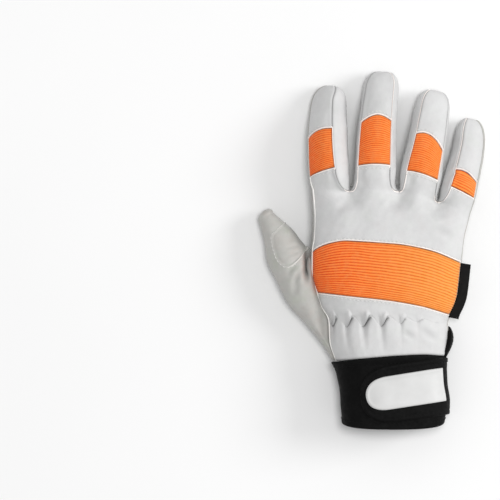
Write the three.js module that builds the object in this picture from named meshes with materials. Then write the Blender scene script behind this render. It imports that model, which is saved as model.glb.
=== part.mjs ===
// A right-hand leather work glove, lying palm down on its fingertips, thumb and cuff.
// Millimetres. +Z up, out of the back of the hand. +Y along the fingers, -X towards the thumb.
// The origin is the middle of the glove's footprint, on the surface that it lies on.
// Every wall is a thin sheet. Sheets that are sewn together share the points of their seam,
// so their walls mitre there, and each edge is drawn back to leave a narrow seam gap.
import * as THREE from 'three';

// Walls and gaps
const seamGap = 0.3;
const leatherWall = 1.8;
const knitWall = 1.6;
const neopreneWall = 2.8;
const patchWall = 1.3;
const strapWall = 2.2;
const badgeWall = 1.2;
const labelWall = 1.2;

// Rows along the glove, counted by u: 0 cuff line, 1 gather line, 2 lower and 3 upper edge of the
// knuckle band, 4 finger crotches, 5 lower and 6 upper edge of a finger's patch, 7 fingertip.
const cuffLine = 0;
const gatherLine = 1;
const bandLow = 2;
const bandHigh = 3;
const crotchLine = 4;
const patchLow = 5;
const patchHigh = 6;
const tipLine = 7;

// y of each row at the thumb-side seam, the three crotches and the little-finger seam
const rowTable = [
  { u: 0, thumbSeam: -80.4, crotch1: -78.5, crotch2: -76.4, crotch3: -75.6, littleSeam: -76.7 },
  { u: 1, thumbSeam: -51.5, crotch1: -50.8, crotch2: -50.4, crotch3: -50.8, littleSeam: -53.5 },
  { u: 2, thumbSeam: -30.8, crotch1: -33.3, crotch2: -36.6, crotch3: -40.8, littleSeam: -46.6 },
  { u: 3, thumbSeam: -0.8, crotch1: 6.3, crotch2: 4.7, crotch3: -0.1, littleSeam: -8.8 },
  { u: 4, thumbSeam: 44.1, crotch1: 43.4, crotch2: 43.4, crotch3: 35.7, littleSeam: 27.3 },
];
const palmCrotchForward = 3.4; // the palm's side of a crotch lies this much nearer the fingertips
const crotchShares = [0, 0.2406, 0.555, 0.7955, 1]; // shares of the hand's width, seam to seam

// x of the two back seams, height of the seams, of the crown of the back and of the palm
const handTable = [
  { u: 0, thumbX: -25.0, littleX: 54.2, seamZ: 21, crownZ: 42, palmZ: 0 },
  { u: 0.5, thumbX: -29.7, littleX: 55.9, seamZ: 20, crownZ: 41.5, palmZ: 0 },
  { u: 1, thumbX: -30.4, littleX: 55.5, seamZ: 19.5, crownZ: 41, palmZ: 0 },
  { u: 1.5, thumbX: -35.3, littleX: 56.2, seamZ: 19.5, crownZ: 42, palmZ: 1.5 },
  { u: 2, thumbX: -38.5, littleX: 57.2, seamZ: 20, crownZ: 42.5, palmZ: 4 },
  { u: 2.5, thumbX: -42.1, littleX: 63.0, seamZ: 21, crownZ: 42.5, palmZ: 6.5 },
  { u: 3, thumbX: -42.3, littleX: 65.5, seamZ: 22, crownZ: 41.5, palmZ: 8.5 },
  { u: 3.5, thumbX: -41.3, littleX: 67.7, seamZ: 23, crownZ: 39.5, palmZ: 10.5 },
  { u: 4, thumbX: -42.9, littleX: 72.2, seamZ: 24, crownZ: 37, palmZ: 12 },
];
const backRoundness = 2.3; // exponent of the superellipse over the back of the hand
const palmRoundness = 3; // and under the palm
const thumbSideLift = 1.6; // the back is this much higher over the index than over the little finger
const valleyDepth = 8; // between two fingers, on the back, at the crotch
const palmValley = 3;
const valleyWidth = 13.5;
const valleyStart = 3.2; // in u, on the back
const palmValleyStart = 3.4;
const sideShare = 0.06; // share of the width that the palm's leather takes to turn up the side

// Centre, lean from +Y towards +X, half width, half thickness and roll of each finger, in degrees
// and millimetres, from its crotch to its tip
const fingerTable = {
  index: [
    { u: 4, x: -28.5, y: 43.7, z: 24.5, lean: -1.5, halfWidth: 15.5, halfThick: 12.5, roll: 25 },
    { u: 5, x: -29.9, y: 56.5, z: 25.5, lean: 3, halfWidth: 15.7, halfThick: 12.3, roll: 37 },
    { u: 6, x: -31.1, y: 85.0, z: 20.5, lean: 2, halfWidth: 14.8, halfThick: 11.5, roll: 42 },
    { u: 6.6, x: -30.3, y: 106.0, z: 10.5, lean: -3, halfWidth: 13.0, halfThick: 10.5, roll: 42 },
    { u: 7, x: -26.0, y: 119.5, z: 7.5, lean: -14, halfWidth: 12.2, halfThick: 9.5, roll: 38 },
  ],
  middle: [
    { u: 4, x: 2.7, y: 43.4, z: 24.5, lean: 0, halfWidth: 15.2, halfThick: 12.5, roll: 6 },
    { u: 5, x: 3.6, y: 61.6, z: 26.5, lean: -2.5, halfWidth: 15.3, halfThick: 12.2, roll: 8 },
    { u: 6, x: 5.3, y: 94.5, z: 21.0, lean: -3.5, halfWidth: 14.1, halfThick: 11.5, roll: 8 },
    { u: 6.6, x: 7.6, y: 115.6, z: 10.5, lean: -5, halfWidth: 13.1, halfThick: 10.5, roll: 8 },
    { u: 7, x: 9.6, y: 129.9, z: 7.5, lean: -5, halfWidth: 12.8, halfThick: 9.5, roll: 8 },
  ],
  ring: [
    { u: 4, x: 34.5, y: 40.1, z: 24.5, lean: -15.7, halfWidth: 14.3, halfThick: 12.3, roll: -3 },
    { u: 5, x: 36.7, y: 54.7, z: 26.0, lean: -11, halfWidth: 15.2, halfThick: 12.0, roll: -5 },
    { u: 6, x: 41.6, y: 81.7, z: 21.0, lean: -9.5, halfWidth: 13.9, halfThick: 11.3, roll: -12 },
    { u: 6.6, x: 45.0, y: 101.8, z: 10.5, lean: -9, halfWidth: 12.9, halfThick: 10.3, roll: -17 },
    { u: 7, x: 47.6, y: 116.2, z: 7.5, lean: -10, halfWidth: 12.4, halfThick: 9.5, roll: -17 },
  ],
  little: [
    { u: 4, x: 59.9, y: 31.5, z: 23.5, lean: -19.8, halfWidth: 12.6, halfThick: 11.5, roll: -20 },
    { u: 5, x: 63.4, y: 43.0, z: 24.0, lean: -17, halfWidth: 12.9, halfThick: 11.0, roll: -25 },
    { u: 6, x: 66.0, y: 53.4, z: 21.5, lean: -15, halfWidth: 12.4, halfThick: 10.7, roll: -25 },
    { u: 6.6, x: 71.5, y: 77.7, z: 10.0, lean: -11, halfWidth: 11.3, halfThick: 9.8, roll: -25 },
    { u: 7, x: 73.2, y: 95.8, z: 7.0, lean: -7, halfWidth: 10.6, halfThick: 8.8, roll: -25 },
  ],
};
const fingerNames = ['index', 'middle', 'ring', 'little'];
// How far the patch's lower and upper edge stray from their rows at the left, middle and right, in u
const patchEdges = {
  index: { low: [-0.15, 0.02, 0.13], high: [-0.09, 0, 0] },
  middle: { low: [-0.02, 0.04, 0.03], high: [-0.11, 0.02, -0.06] },
  ring: { low: [0.05, 0.03, -0.05], high: [-0.03, -0.03, -0.29] },
  little: { low: [0.12, 0, -0.12], high: [0.02, 0.02, -0.12] },
};
const cornerWidth = 0.79; // a finger's four seams lie at these shares of its half width
const cornerThick = 0.72; // and half thickness
const crotchReach = 12; // a seam leaves the crotch and joins its finger's side within this
const settleReach = 20; // the back and the palm settle onto the finger's shape within this
const tipStart = 6.6; // the end of a finger rounds off from here
const tipWidthLeft = 0.42; // share of the width left at the tip's own seam
const tipRoundness = 2.5; // exponent of the rounding seen from above
const tipSideRoundness = 2.3; // and from the side
const pitchStep = 0.05; // a finger's pitch is taken over this much on each side, in u
const crotchHollow = 1.5; // the side wall sinks this much towards the wrist in a crotch

// The gathers: small puffs on both sides of the elastic line
const gatherCount = 8;
const gatherHeight = 1.5;
const gatherPinch = 1.8; // the elastic line is drawn in this much
const gatherSpread = 0.45; // in u
const elasticSpread = 0.12; // in u
const gatherStagger = 0.18; // the puffs on the line's two sides are out of step by this, in turns
const gatherFades = { low: 0.25, high: 1.6, left: 0.06, right: 0.75 }; // rows, and shares of the width

// The thumb, as rings from its base to its tip: the web point, the outer point, the middle height
// and the half thickness. The base itself is the seam round the thumb's opening.
const thumbTable = [
  { s: 1, webX: -43.1, webY: 1.0, outX: -44.4, outY: -55.4, midZ: 15.0, halfThick: 14.8 },
  { s: 2, webX: -44.6, webY: 2.0, outX: -58.8, outY: -41.2, midZ: 14.3, halfThick: 14.6 },
  { s: 3, webX: -47.4, webY: 4.3, outX: -71.0, outY: -21.3, midZ: 13.4, halfThick: 13.8 },
  { s: 4, webX: -51.6, webY: 8.8, outX: -77.5, outY: -6.1, midZ: 12.6, halfThick: 13.0 },
  { s: 5, webX: -57.6, webY: 17.0, outX: -80.6, outY: 6.1, midZ: 11.6, halfThick: 12.0 },
  { s: 6, webX: -64.6, webY: 23.0, outX: -82.3, outY: 15.3, midZ: 10.4, halfThick: 10.8 },
  { s: 7, webX: -70.6, webY: 28.4, outX: -82.3, outY: 23.4, midZ: 8.6, halfThick: 8.4 },
];
const thumbTip = { x: -77.0, y: 30.0, z: 8.0 };
const thumbSquareness = 0.86; // exponent of the rings' sine and cosine
const holeTable = [
  { u: 0, share: 0.1 },
  { u: 0.8, share: 0.25 },
  { u: 1.6, share: 0.31 },
  { u: 2.4, share: 0.24 },
  { u: 3, share: sideShare },
]; // the thumb's seam across the palm, as a share of the width
const cuffSideBulge = 3.6; // the thumb's leather stands out past its seam at the cuff line
const cuffSideRoundness = 0.8;
// Degrees round the thumb where the opening's four stretches begin and end: 0 at the web, 90 over
// the back, 180 on the outer side
const openingTurns = [148, 38, -38, -142, -212];

// The patch over the thumb's joint: rows and degrees that it spans
const thumbPatchSpan = { from: 2.6, to: 5.75, low: 12, high: 117 };
const thumbPatchRoundness = 2.6;
const thumbPatchEnd = 0.1; // share of the width left at its two ends

// The cuff: its centre, half width and height at stations down its length
const cuffTable = [
  { v: 0, x: 12.8, y: -78.6, halfWidth: 41.2, height: 44.5 },
  { v: 0.2, x: 13.9, y: -88.3, halfWidth: 39.1, height: 42.5 },
  { v: 0.4, x: 15.2, y: -98.3, halfWidth: 38.5, height: 42 },
  { v: 0.65, x: 16.6, y: -109.2, halfWidth: 38.9, height: 42.5 },
  { v: 0.85, x: 16.6, y: -119.4, halfWidth: 38.3, height: 43 },
  { v: 1, x: 16.2, y: -125.3, halfWidth: 37.6, height: 43.5 },
];
const cuffMouthDip = 4.7; // the mouth's edge is longer over the back by this
const cuffGap = 0.5;
const cuffRoundness = 2.5;
const cuffMiddle = 0.46; // its widest level, as a share of the height
const cuffBelly = 1.12; // below that level it reaches this share down, and the floor flattens it

// Pieces on the cuff. Angles run round it from the palm's thumb side over the back, in degrees.
const strapFrom = 57; // rounded free end, over the back
const strapTo = 222; // sewn end, under the little-finger side
const strapHalfWidth = 20.8;
const strapSlope = 0.137; // rise towards the little finger
const strapY = -103.6; // its middle line, over the back's middle
const badgeFrom = 65;
const badgeTo = 150;
const badgeHalfWidth = 12.2;
const badgeY = -102.8;
const badgeSlope = 0.16;
const stripRoundness = 2.2; // exponent of the rounded ends

// The gusset outside the little-finger side
const gussetFoot = 0.02; // in u
const gussetTop = 0.82;
const gussetLift = 0.6;
const gussetBulge = 2.9;
const gussetWall = 2.6;
const gussetTurn = { back: -0.16, palm: 0.95 }; // radians round the side from the seam
const gussetTipWidth = 0.15; // share of the width left at its top

const labelWidth = 7.2;
const labelFrom = 1.75; // in u
const labelTo = 2.99;
const labelDroop = 1.4;
const labelLean = 1.2; // towards the wrist
const labelGap = 0.5;
const labelLift = 0.4;

// Small helpers
const mix = (a, b, t) => a + (b - a) * t;
const share = (t, a, b) => Math.min(1, Math.max(0, (t - a) / (b - a)));
const smooth = (t) => t * t * (3 - 2 * t);
const bump = (d, width) => Math.exp(-((d / width) ** 2));
const vec = (x, y, z) => new THREE.Vector3(x, y, z);
const mixPoints = (a, b, t) => new THREE.Vector3().lerpVectors(a, b, t);
const spread = (from, to, count) =>
  Array.from({ length: count + 1 }, (_, i) => mix(from, to, i / count));

// A smooth curve through knots that never overshoots: cubic pieces with limited slopes.
function through(knots, values, t) {
  const last = knots.length - 1;
  const steps = knots.slice(1).map((k, i) => k - knots[i]);
  const rises = steps.map((h, i) => (values[i + 1] - values[i]) / h);
  const slope = (i) => {
    if (i === 0) return rises[0];
    if (i === last) return rises[last - 1];
    const [a, b] = [rises[i - 1], rises[i]];
    if (a * b <= 0) return 0;
    const [wa, wb] = [2 * steps[i] + steps[i - 1], steps[i] + 2 * steps[i - 1]];
    return (wa + wb) / (wa / a + wb / b);
  };
  let i = 0;
  while (i < last - 1 && t > knots[i + 1]) i++;
  const h = steps[i];
  const q = (t - knots[i]) / h;
  return (
    values[i] * (1 + 2 * q) * (1 - q) ** 2 +
    h * slope(i) * q * (1 - q) ** 2 +
    values[i + 1] * q * q * (3 - 2 * q) -
    h * slope(i + 1) * q * q * (1 - q)
  );
}
const column = (table, name, t, key = 'u') =>
  through(table.map((row) => row[key]), table.map((row) => row[name]), t);

// The hand. f is the share of the width from the thumb-side seam to the little-finger seam.
const seamNames = ['thumbSeam', 'crotch1', 'crotch2', 'crotch3', 'littleSeam'];

function rowY(u, f) {
  return through(crotchShares, seamNames.map((name) => column(rowTable, name, u)), f);
}

function crotchBumps(f, width) {
  const valley = (at) => Math.max(0, 1 - ((f - at) * width) ** 2 / valleyWidth ** 2) ** 2;
  return crotchShares.slice(1, 4).reduce((sum, at) => sum + valley(at), 0);
}

function handBack(u, f) {
  const left = column(handTable, 'thumbX', u);
  const width = column(handTable, 'littleX', u) - left;
  const seam = column(handTable, 'seamZ', u);
  const crown = column(handTable, 'crownZ', u) - seam;
  const arch = Math.max(0, 1 - Math.abs(1 - 2 * f) ** backRoundness) ** (1 / backRoundness);
  const nearCrotch = smooth(share(u, valleyStart, crotchLine)) * valleyDepth;
  const z = seam + (crown + thumbSideLift * (0.5 - f)) * arch - nearCrotch * crotchBumps(f, width);
  const { low, high, left: leftFade, right: rightFade } = gatherFades;
  const nearLine = bump(u - gatherLine, gatherSpread) * share(u, cuffLine, low) * share(u, bandLow, high);
  const fade = share(f, 0, leftFade) * share(f, 1, rightFade);
  const side = Math.sign(u - gatherLine) || 1;
  const puff = Math.cos(2 * Math.PI * (gatherCount * f + gatherStagger * side));
  const drawn = gatherPinch * bump(u - gatherLine, elasticSpread) * arch;
  return vec(left + width * f, rowY(u, f), z + nearLine * (gatherHeight * puff * fade - drawn));
}

function handPalm(u, f) {
  const left = column(handTable, 'thumbX', u);
  const width = column(handTable, 'littleX', u) - left;
  const seam = column(handTable, 'seamZ', u);
  const drop = seam - column(handTable, 'palmZ', u);
  const arch = Math.max(0, 1 - Math.abs(1 - 2 * f) ** palmRoundness) ** (1 / palmRoundness);
  const bumps = crotchBumps(f, width);
  const z = seam - drop * arch + palmValley * smooth(share(u, palmValleyStart, crotchLine)) * bumps;
  const forward = palmCrotchForward * smooth(share(u, bandHigh, crotchLine)) * Math.min(1, bumps);
  return vec(left + width * f, rowY(u, f) + forward, Math.max(0, z));
}

// A finger's section: its centre, its two directions and its half sizes, rounded off at the tip
function section(name, u) {
  const rows = fingerTable[name];
  const at = (name) => column(rows, name, u);
  const before = Math.max(crotchLine, u - pitchStep);
  const after = Math.min(tipLine, u + pitchStep);
  const climb = column(rows, 'z', after) - column(rows, 'z', before);
  const pitch = Math.atan2(climb, column(rows, 'y', after) - column(rows, 'y', before));
  const lean = THREE.MathUtils.degToRad(at('lean'));
  const across = vec(Math.cos(lean), Math.sin(lean), 0);
  const level = vec(-Math.sin(lean), Math.cos(lean), 0);
  const up = vec(0, 0, Math.cos(pitch)).addScaledVector(level, -Math.sin(pitch));
  const along = level.clone().multiplyScalar(Math.cos(pitch)).add(vec(0, 0, Math.sin(pitch)));
  const roll = THREE.MathUtils.degToRad(at('roll'));
  const end = share(u, tipStart, tipLine);
  const lostWidth = 1 - tipWidthLeft ** tipRoundness;
  return {
    centre: vec(at('x'), at('y'), at('z')),
    along,
    right: across.clone().multiplyScalar(Math.cos(roll)).addScaledVector(up, Math.sin(roll)),
    top: up.clone().multiplyScalar(Math.cos(roll)).addScaledVector(across, -Math.sin(roll)),
    a: at('halfWidth') * (1 - lostWidth * end ** tipRoundness) ** (1 / tipRoundness),
    b: at('halfThick') * Math.max(0, 1 - end ** tipSideRoundness) ** (1 / tipSideRoundness),
  };
}

// One of the four seams along a finger: side -1 left or 1 right, face 1 back or -1 palm
function corner(name, u, side, face) {
  const s = section(name, u);
  return s.centre
    .addScaledVector(s.right, side * s.a * cornerWidth)
    .addScaledVector(s.top, face * s.b * cornerThick);
}

// How far a seam has left the crotch line: 0 in the crotch, 1 on the finger's side
function leaving(name, u, reach = crotchReach) {
  const base = fingerTable[name][0].y;
  return share(column(fingerTable[name], 'y', u) - base, 0, reach);
}

// Shares of the hand's width between which a finger stands
const fingerShares = (name) => {
  const i = fingerNames.indexOf(name);
  return [crotchShares[i], crotchShares[i + 1]];
};

// u as it is felt at w across the finger's back, where the rows bend with the edges of its patch
function skewed(name, u, w) {
  const stray = ([left, middle, right]) =>
    left * (1 - w) * (1 - 2 * w) + middle * 4 * w * (1 - w) + right * w * (2 * w - 1);
  const [low, high] = [stray(patchEdges[name].low), stray(patchEdges[name].high)];
  if (u < patchLow) return u + low * smooth(share(u, crotchLine, patchLow));
  if (u < patchHigh) return u + mix(low, high, u - patchLow);
  return u + high * smooth(share(u, tipLine, patchHigh));
}

const onFloor = (p) => p.setZ(Math.max(0, p.z));
const isOuter = (name, side) => (name === 'index' ? side < 0 : name === 'little' && side > 0);

// The seams on a finger's back and palm. Between two fingers the palm's seam lies further forward.
const backSeam = (name, u, side) => corner(name, skewed(name, u, (1 + side) / 2), side, 1);
function palmSeam(name, u, side) {
  const forward = isOuter(name, side) ? 0 : palmCrotchForward * (1 - smooth(leaving(name, u)));
  return corner(name, u, side, -1).addScaledVector(section(name, u).along, forward);
}

// From the hand's point at the crotch line onto the finger's own shape. Where springy is 1, as in
// the crotches, it leaves in a U; where it is 0 it settles smoothly.
function leave(name, u, springy, start, shape) {
  const out = leaving(name, u);
  const settled = smooth(leaving(name, u, settleReach));
  const settle = start.clone().sub(shape(crotchLine)).multiplyScalar(1 - settled);
  const spring = start.clone().sub(shape(u)).multiplyScalar(1 - Math.sqrt(1 - (1 - out) ** 2));
  return onFloor(shape(u).add(mixPoints(settle, spring, springy)));
}
const springiness = (name, w) => (isOuter(name, w - 0.5) ? 0 : (2 * w - 1) ** 2);

// Columns crowd towards the side seams of the hand, where the back turns down.
function crowded(name, w) {
  if (name === 'index') return 1 - Math.cos((w * Math.PI) / 2);
  if (name === 'little') return Math.sin((w * Math.PI) / 2);
  return w;
}

function fingerBack(name, u, w) {
  const [from, to] = fingerShares(name);
  const f = mix(from, to, crowded(name, w));
  if (u <= crotchLine) return handBack(u, f);
  return leave(name, u, springiness(name, w), handBack(crotchLine, f), (v) => {
    const at = skewed(name, v, w);
    const s = section(name, at);
    return mixPoints(corner(name, at, -1, 1), corner(name, at, 1, 1), w)
      .addScaledVector(s.top, s.b * (1 - cornerThick) * (1 - (2 * w - 1) ** 2));
  });
}

function fingerPalm(name, u, w) {
  const [lowest, highest] = [sideShare, 1 - sideShare];
  const [from, to] = fingerShares(name).map((f) => Math.min(highest, Math.max(lowest, f)));
  const f = mix(from, to, w);
  if (u <= crotchLine) {
    // Below the band's upper edge the palm starts at the thumb's opening instead of at the side.
    const start = u < bandHigh ? column(holeTable, 'share', u) : lowest;
    return handPalm(u, mix(start, highest, share(f, lowest, highest)));
  }
  return leave(name, u, springiness(name, w), handPalm(crotchLine, f), (v) => {
    const s = section(name, v);
    return mixPoints(palmSeam(name, v, -1), palmSeam(name, v, 1), w)
      .addScaledVector(s.top, -s.b * (1 - cornerThick) * (1 - (2 * w - 1) ** 2));
  });
}

// A finger's side between its back seam, t 0, and its palm seam, t 1
function fingerSide(name, u, side, t) {
  const outer = isOuter(name, side);
  const f = (1 - Math.cos(t * Math.acos(1 - 2 * sideShare))) / 2;
  const onHand = (v) => handPalm(v, side < 0 ? f : 1 - f);
  if (outer && u <= crotchLine) return onHand(u);
  const at = fingerShares(name)[side < 0 ? 0 : 1];
  const start = outer
    ? onHand(crotchLine)
    : mixPoints(handBack(crotchLine, at), handPalm(crotchLine, at), t)
        .add(vec(0, -crotchHollow * 4 * t * (1 - t), 0));
  return leave(name, u, outer ? 0 : 1, start, (v) => {
    const s = section(name, v);
    return mixPoints(backSeam(name, v, side), palmSeam(name, v, side), t)
      .addScaledVector(s.right, side * s.a * (1 - cornerWidth) * 4 * t * (1 - t));
  });
}

// A sheet collects patches of quads. Patches of one sheet that share points are joined.
const sheets = [];
const keyOf = (p) => [p.x, p.y, p.z].map((c) => Math.round(c * 500)).join(',');

class Sheet {
  constructor(name, wall, material, options = {}) {
    Object.assign(this, { name, wall, material, points: [], index: new Map(), faces: [], options });
    sheets.push(this);
  }
  vertex(p) {
    const key = keyOf(p);
    if (!this.index.has(key)) {
      this.index.set(key, this.points.length);
      this.points.push(p.clone());
    }
    return this.index.get(key);
  }
  // rows and columns of parameters, a point function, and whether the patch faces the other way
  patch(rows, columns, at, turned = false) {
    const grid = rows.map((r) => columns.map((c) => this.vertex(at(r, c))));
    for (let i = 0; i + 1 < rows.length; i++)
      for (let j = 0; j + 1 < columns.length; j++) {
        const [a, b, c, d] = [grid[i][j], grid[i][j + 1], grid[i + 1][j + 1], grid[i + 1][j]];
        this.face([a, b, c], turned).face([a, c, d], turned);
      }
    return this;
  }
  // Triangles between two rows that hold different numbers of points
  zip(first, second, turned = false) {
    const [a, b] = [first, second].map((row) => row.map((p) => this.vertex(p)));
    let [i, j] = [0, 0];
    while (i + 1 < a.length || j + 1 < b.length) {
      if ((i + 1) * (b.length - 1) <= (j + 1) * (a.length - 1)) this.face([a[i], a[++i], b[j]], turned);
      else this.face([a[i], b[j + 1], b[j++]], turned);
    }
    return this;
  }
  face(corners, turned) {
    const [a, b, c] = corners;
    if (new Set(corners).size === 3) this.faces.push(turned ? [a, c, b] : [a, b, c]);
    return this;
  }
}

// Normals added up over every sheet that meets at a point, so that sewn walls mitre
function seamNormals() {
  const sums = new Map();
  for (const sheet of sheets) {
    sheet.own = sheet.points.map(() => vec(0, 0, 0));
    for (const [a, b, c] of sheet.faces) {
      const [p, q, r] = [a, b, c].map((i) => sheet.points[i]);
      const n = new THREE.Vector3().crossVectors(q.clone().sub(p), r.clone().sub(p));
      for (const i of [a, b, c]) sheet.own[i].add(n);
    }
    sheet.own.forEach((n) => n.normalize());
    if (sheet.options.alone) continue;
    sheet.points.forEach((p, i) => {
      const key = keyOf(p);
      sums.set(key, (sums.get(key) || vec(0, 0, 0)).add(sheet.own[i]));
    });
  }
  return sums;
}

// A closed wall from a sheet: its outer face, an inner face a wall's thickness in, and the rims
function wallOf(sheet, sums) {
  const { points, faces, wall, options } = sheet;
  const inward = points.map((p, i) => {
    const n = (options.alone ? sheet.own[i] : sums.get(keyOf(p))).clone();
    if (options.tube) n.y = 0;
    return n.normalize().multiplyScalar(-1);
  });
  const next = new Map();
  const edges = new Set(faces.flatMap(([a, b, c]) => [`${a},${b}`, `${b},${c}`, `${c},${a}`]));
  for (const e of edges) {
    const [a, b] = e.split(',').map(Number);
    if (!edges.has(`${b},${a}`)) next.set(a, b);
  }
  const previous = new Map([...next].map(([a, b]) => [b, a]));
  const outer = points.map((p, i) => p.clone().addScaledVector(inward[i], -(options.lift || 0)));
  const inner = outer.map((p, i) => {
    const q = p.clone().addScaledVector(inward[i], wall);
    return p.z < wall && !options.alone ? q.setZ(Math.max(q.z, Math.min(wall, p.z + wall))) : q;
  });
  const drawBack = options.gap === undefined ? seamGap / 2 : options.gap;
  for (const [i, after] of next) {
    const along = points[after].clone().sub(points[previous.get(i)]).normalize();
    const into = new THREE.Vector3().crossVectors(sheet.own[i], along).normalize();
    outer[i].addScaledVector(into, drawBack);
    inner[i].addScaledVector(into, drawBack);
  }
  const n = points.length;
  const triangles = faces.flatMap(([a, b, c]) => [[a, b, c], [n + a, n + c, n + b]]);
  // Both sheets at a seam split their rim along the same diagonals.
  for (const [a, b] of next) {
    if (keyOf(points[a]) < keyOf(points[b])) triangles.push([b, a, n + a], [b, n + a, n + b]);
    else triangles.push([b, a, n + b], [a, n + a, n + b]);
  }
  const geometry = new THREE.BufferGeometry();
  const positions = [...outer, ...inner].flatMap((p) => [p.x, p.y, Math.max(0, p.z)]);
  geometry.setAttribute('position', new THREE.Float32BufferAttribute(positions, 3));
  geometry.setIndex(triangles.flat());
  geometry.computeVertexNormals();
  return geometry;
}

// Materials, as the photograph shows them
const finish = (name, color, roughness) =>
  new THREE.MeshStandardMaterial({ name, color, roughness, metalness: 0 });
const leather = finish('leather', 0xdcdcdb, 0.6);
const knit = finish('ribbed_knit', 0xff7a2c, 0.85);
const neoprene = finish('neoprene', 0x161616, 0.8);
const rubber = finish('badge_rubber', 0xe9e9e9, 0.45);
const woven = finish('woven_label', 0x101010, 0.7);

// Shared samples, so that sewn sheets meet point for point
const wristRows = [0, 0.3, 0.62, 0.84, 0.94, 1, 1.06, 1.18, 1.45, 2];
const bandRows = spread(bandLow, bandHigh, 3);
const knuckleRows = [3, 3.35, 3.65, 3.86, 4];
const baseRows = [4, 4.04, 4.15, 4.4, 4.7, 5];
const patchRows = [5, 5.5, 6];
const tipRows = [6, 6.3, 6.6, 6.76, 6.88, 6.96, 7];
const fingerRows = [...new Set([...baseRows, ...patchRows, ...tipRows])];
const acrossFinger = spread(0, 1, 5);
const acrossPalm = spread(0, 1, 3);
const acrossSide = spread(0, 1, 3);
const acrossWrist = spread(0, 1, 10);

const backPanel = new Sheet('back_panel', leatherWall, leather);
const band = new Sheet('knuckle_band', knitWall, knit);
const wrist = new Sheet('wrist_panel', leatherWall, leather);
for (const name of fingerNames) {
  const at = (u, w) => fingerBack(name, u, w);
  backPanel.patch(knuckleRows, acrossFinger, at).patch(baseRows, acrossFinger, at);
  band.patch(bandRows, acrossFinger, at);
  wrist.patch(wristRows, acrossWrist, at);
  new Sheet(`${name}_patch`, knitWall, knit).patch(patchRows, acrossFinger, at);
  new Sheet(`${name}_tip`, leatherWall, leather).patch(tipRows, acrossFinger, at);
}

fingerNames.slice(0, 3).forEach((name, i) => {
  const other = fingerNames[i + 1];
  new Sheet(`${name}_${other}_fourchette`, leatherWall, leather)
    .patch(fingerRows, acrossSide, (u, t) => fingerSide(name, u, 1, t))
    .patch(fingerRows, acrossSide, (u, t) => fingerSide(other, u, -1, t), true);
});

const palmRows = [...new Set([...wristRows, ...bandRows])];
const palm = new Sheet('palm_panel', leatherWall, leather);
for (const name of fingerNames) {
  const at = (u, w) => fingerPalm(name, u, w);
  palm.patch(palmRows, acrossPalm, at, true);
  palm.zip(acrossPalm.map((w) => at(bandHigh, w)), acrossFinger.map((w) => at(knuckleRows[1], w)), true);
  for (const rows of [knuckleRows.slice(1), fingerRows]) palm.patch(rows, acrossFinger, at, true);
}
for (const rows of [palmRows, knuckleRows, fingerRows])
  palm.patch(rows, acrossSide, (u, t) => fingerSide('little', u, 1, t));
for (const rows of [knuckleRows, fingerRows])
  palm.patch(rows, acrossSide, (u, t) => fingerSide('index', u, -1, t), true);

// The points round the thumb's opening, in four stretches: along the back's seam to the band, down
// the index finger's side, along the palm to the cuff line, and round the outer side
const outerSteps = 4;
function thumbOpening() {
  const back = palmRows.map((u) => handBack(u, 0));
  const web = acrossSide.slice(1).map((t) => fingerSide('index', bandHigh, -1, t));
  const under = [...palmRows].reverse().slice(1).map((u) => fingerPalm('index', u, 0));
  const low = column(holeTable, 'share', cuffLine);
  const outer = spread(0, 1, outerSteps)
    .slice(1, -1)
    .map((t) => {
      const p = handPalm(cuffLine, low * (1 - t) ** 2);
      p.x -= cuffSideBulge * Math.sin(Math.PI * t) ** cuffSideRoundness;
      return p;
    });
  return [back, web, under, outer];
}

// Degrees of each of those points round the thumb. Each stretch shares out its turn by length.
function openingAngles([back, web, under, outer]) {
  const ring = [...back, ...web, ...under, ...outer];
  const lengths = [0];
  ring.forEach((p, i) => lengths.push(lengths[i] + p.distanceTo(ring[(i + 1) % ring.length])));
  const backEnd = back.length - 1;
  const webEnd = backEnd + web.length;
  const ends = [0, backEnd, webEnd, webEnd + under.length, ring.length].map((k) => lengths[k]);
  return ring.map((_, k) => {
    const i = Math.max(1, ends.findIndex((end) => lengths[k] <= end));
    return mix(openingTurns[i - 1], openingTurns[i], share(lengths[k], ends[i - 1], ends[i]));
  });
}

// A point of the thumb at s along it. Up to the last ring it runs through the rings, from its own
// point of the opening, and past it the last ring closes on the tip in a round.
const squared = (c) => Math.sign(c) * Math.abs(c) ** thumbSquareness;

function thumbPoint(s, degrees, start) {
  const angle = THREE.MathUtils.degToRad(degrees);
  const c = squared(Math.cos(angle));
  const q = squared(Math.sin(angle));
  const ringPoints = thumbTable.map((row) =>
    vec(
      mix(row.outX, row.webX, (1 + c) / 2),
      mix(row.outY, row.webY, (1 + c) / 2),
      row.midZ + row.halfThick * q,
    ),
  );
  const last = thumbTable.at(-1);
  if (s <= last.s) {
    const knots = [0, ...thumbTable.map((row) => row.s)];
    const points = [start || ringPoints[0], ...ringPoints];
    const [x, y, z] = ['x', 'y', 'z'].map((k) => through(knots, points.map((p) => p[k]), s));
    return onFloor(vec(x, y, z));
  }
  const turn = ((s - last.s) * Math.PI) / 2;
  const middle = vec((last.outX + last.webX) / 2, (last.outY + last.webY) / 2, last.midZ);
  const tip = vec(thumbTip.x, thumbTip.y, thumbTip.z);
  const spoke = ringPoints.at(-1).clone().sub(middle).multiplyScalar(Math.cos(turn));
  return onFloor(mixPoints(middle, tip, Math.sin(turn)).add(spoke));
}

const thumbRows = [0, 0.35, 0.8, 1.4, 2, 2.7, 3.4, 4.2, 5, 6, 6.6, 7, 7.35, 7.7, 8];
const opening = thumbOpening();
const angles = openingAngles(opening);
const base = opening.flat();
new Sheet('thumb_shell', leatherWall, leather).patch(
  thumbRows,
  [...angles.keys(), 0],
  (s, k) => (s === 0 ? base[k] : thumbPoint(s, angles[k], base[k])),
);

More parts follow.
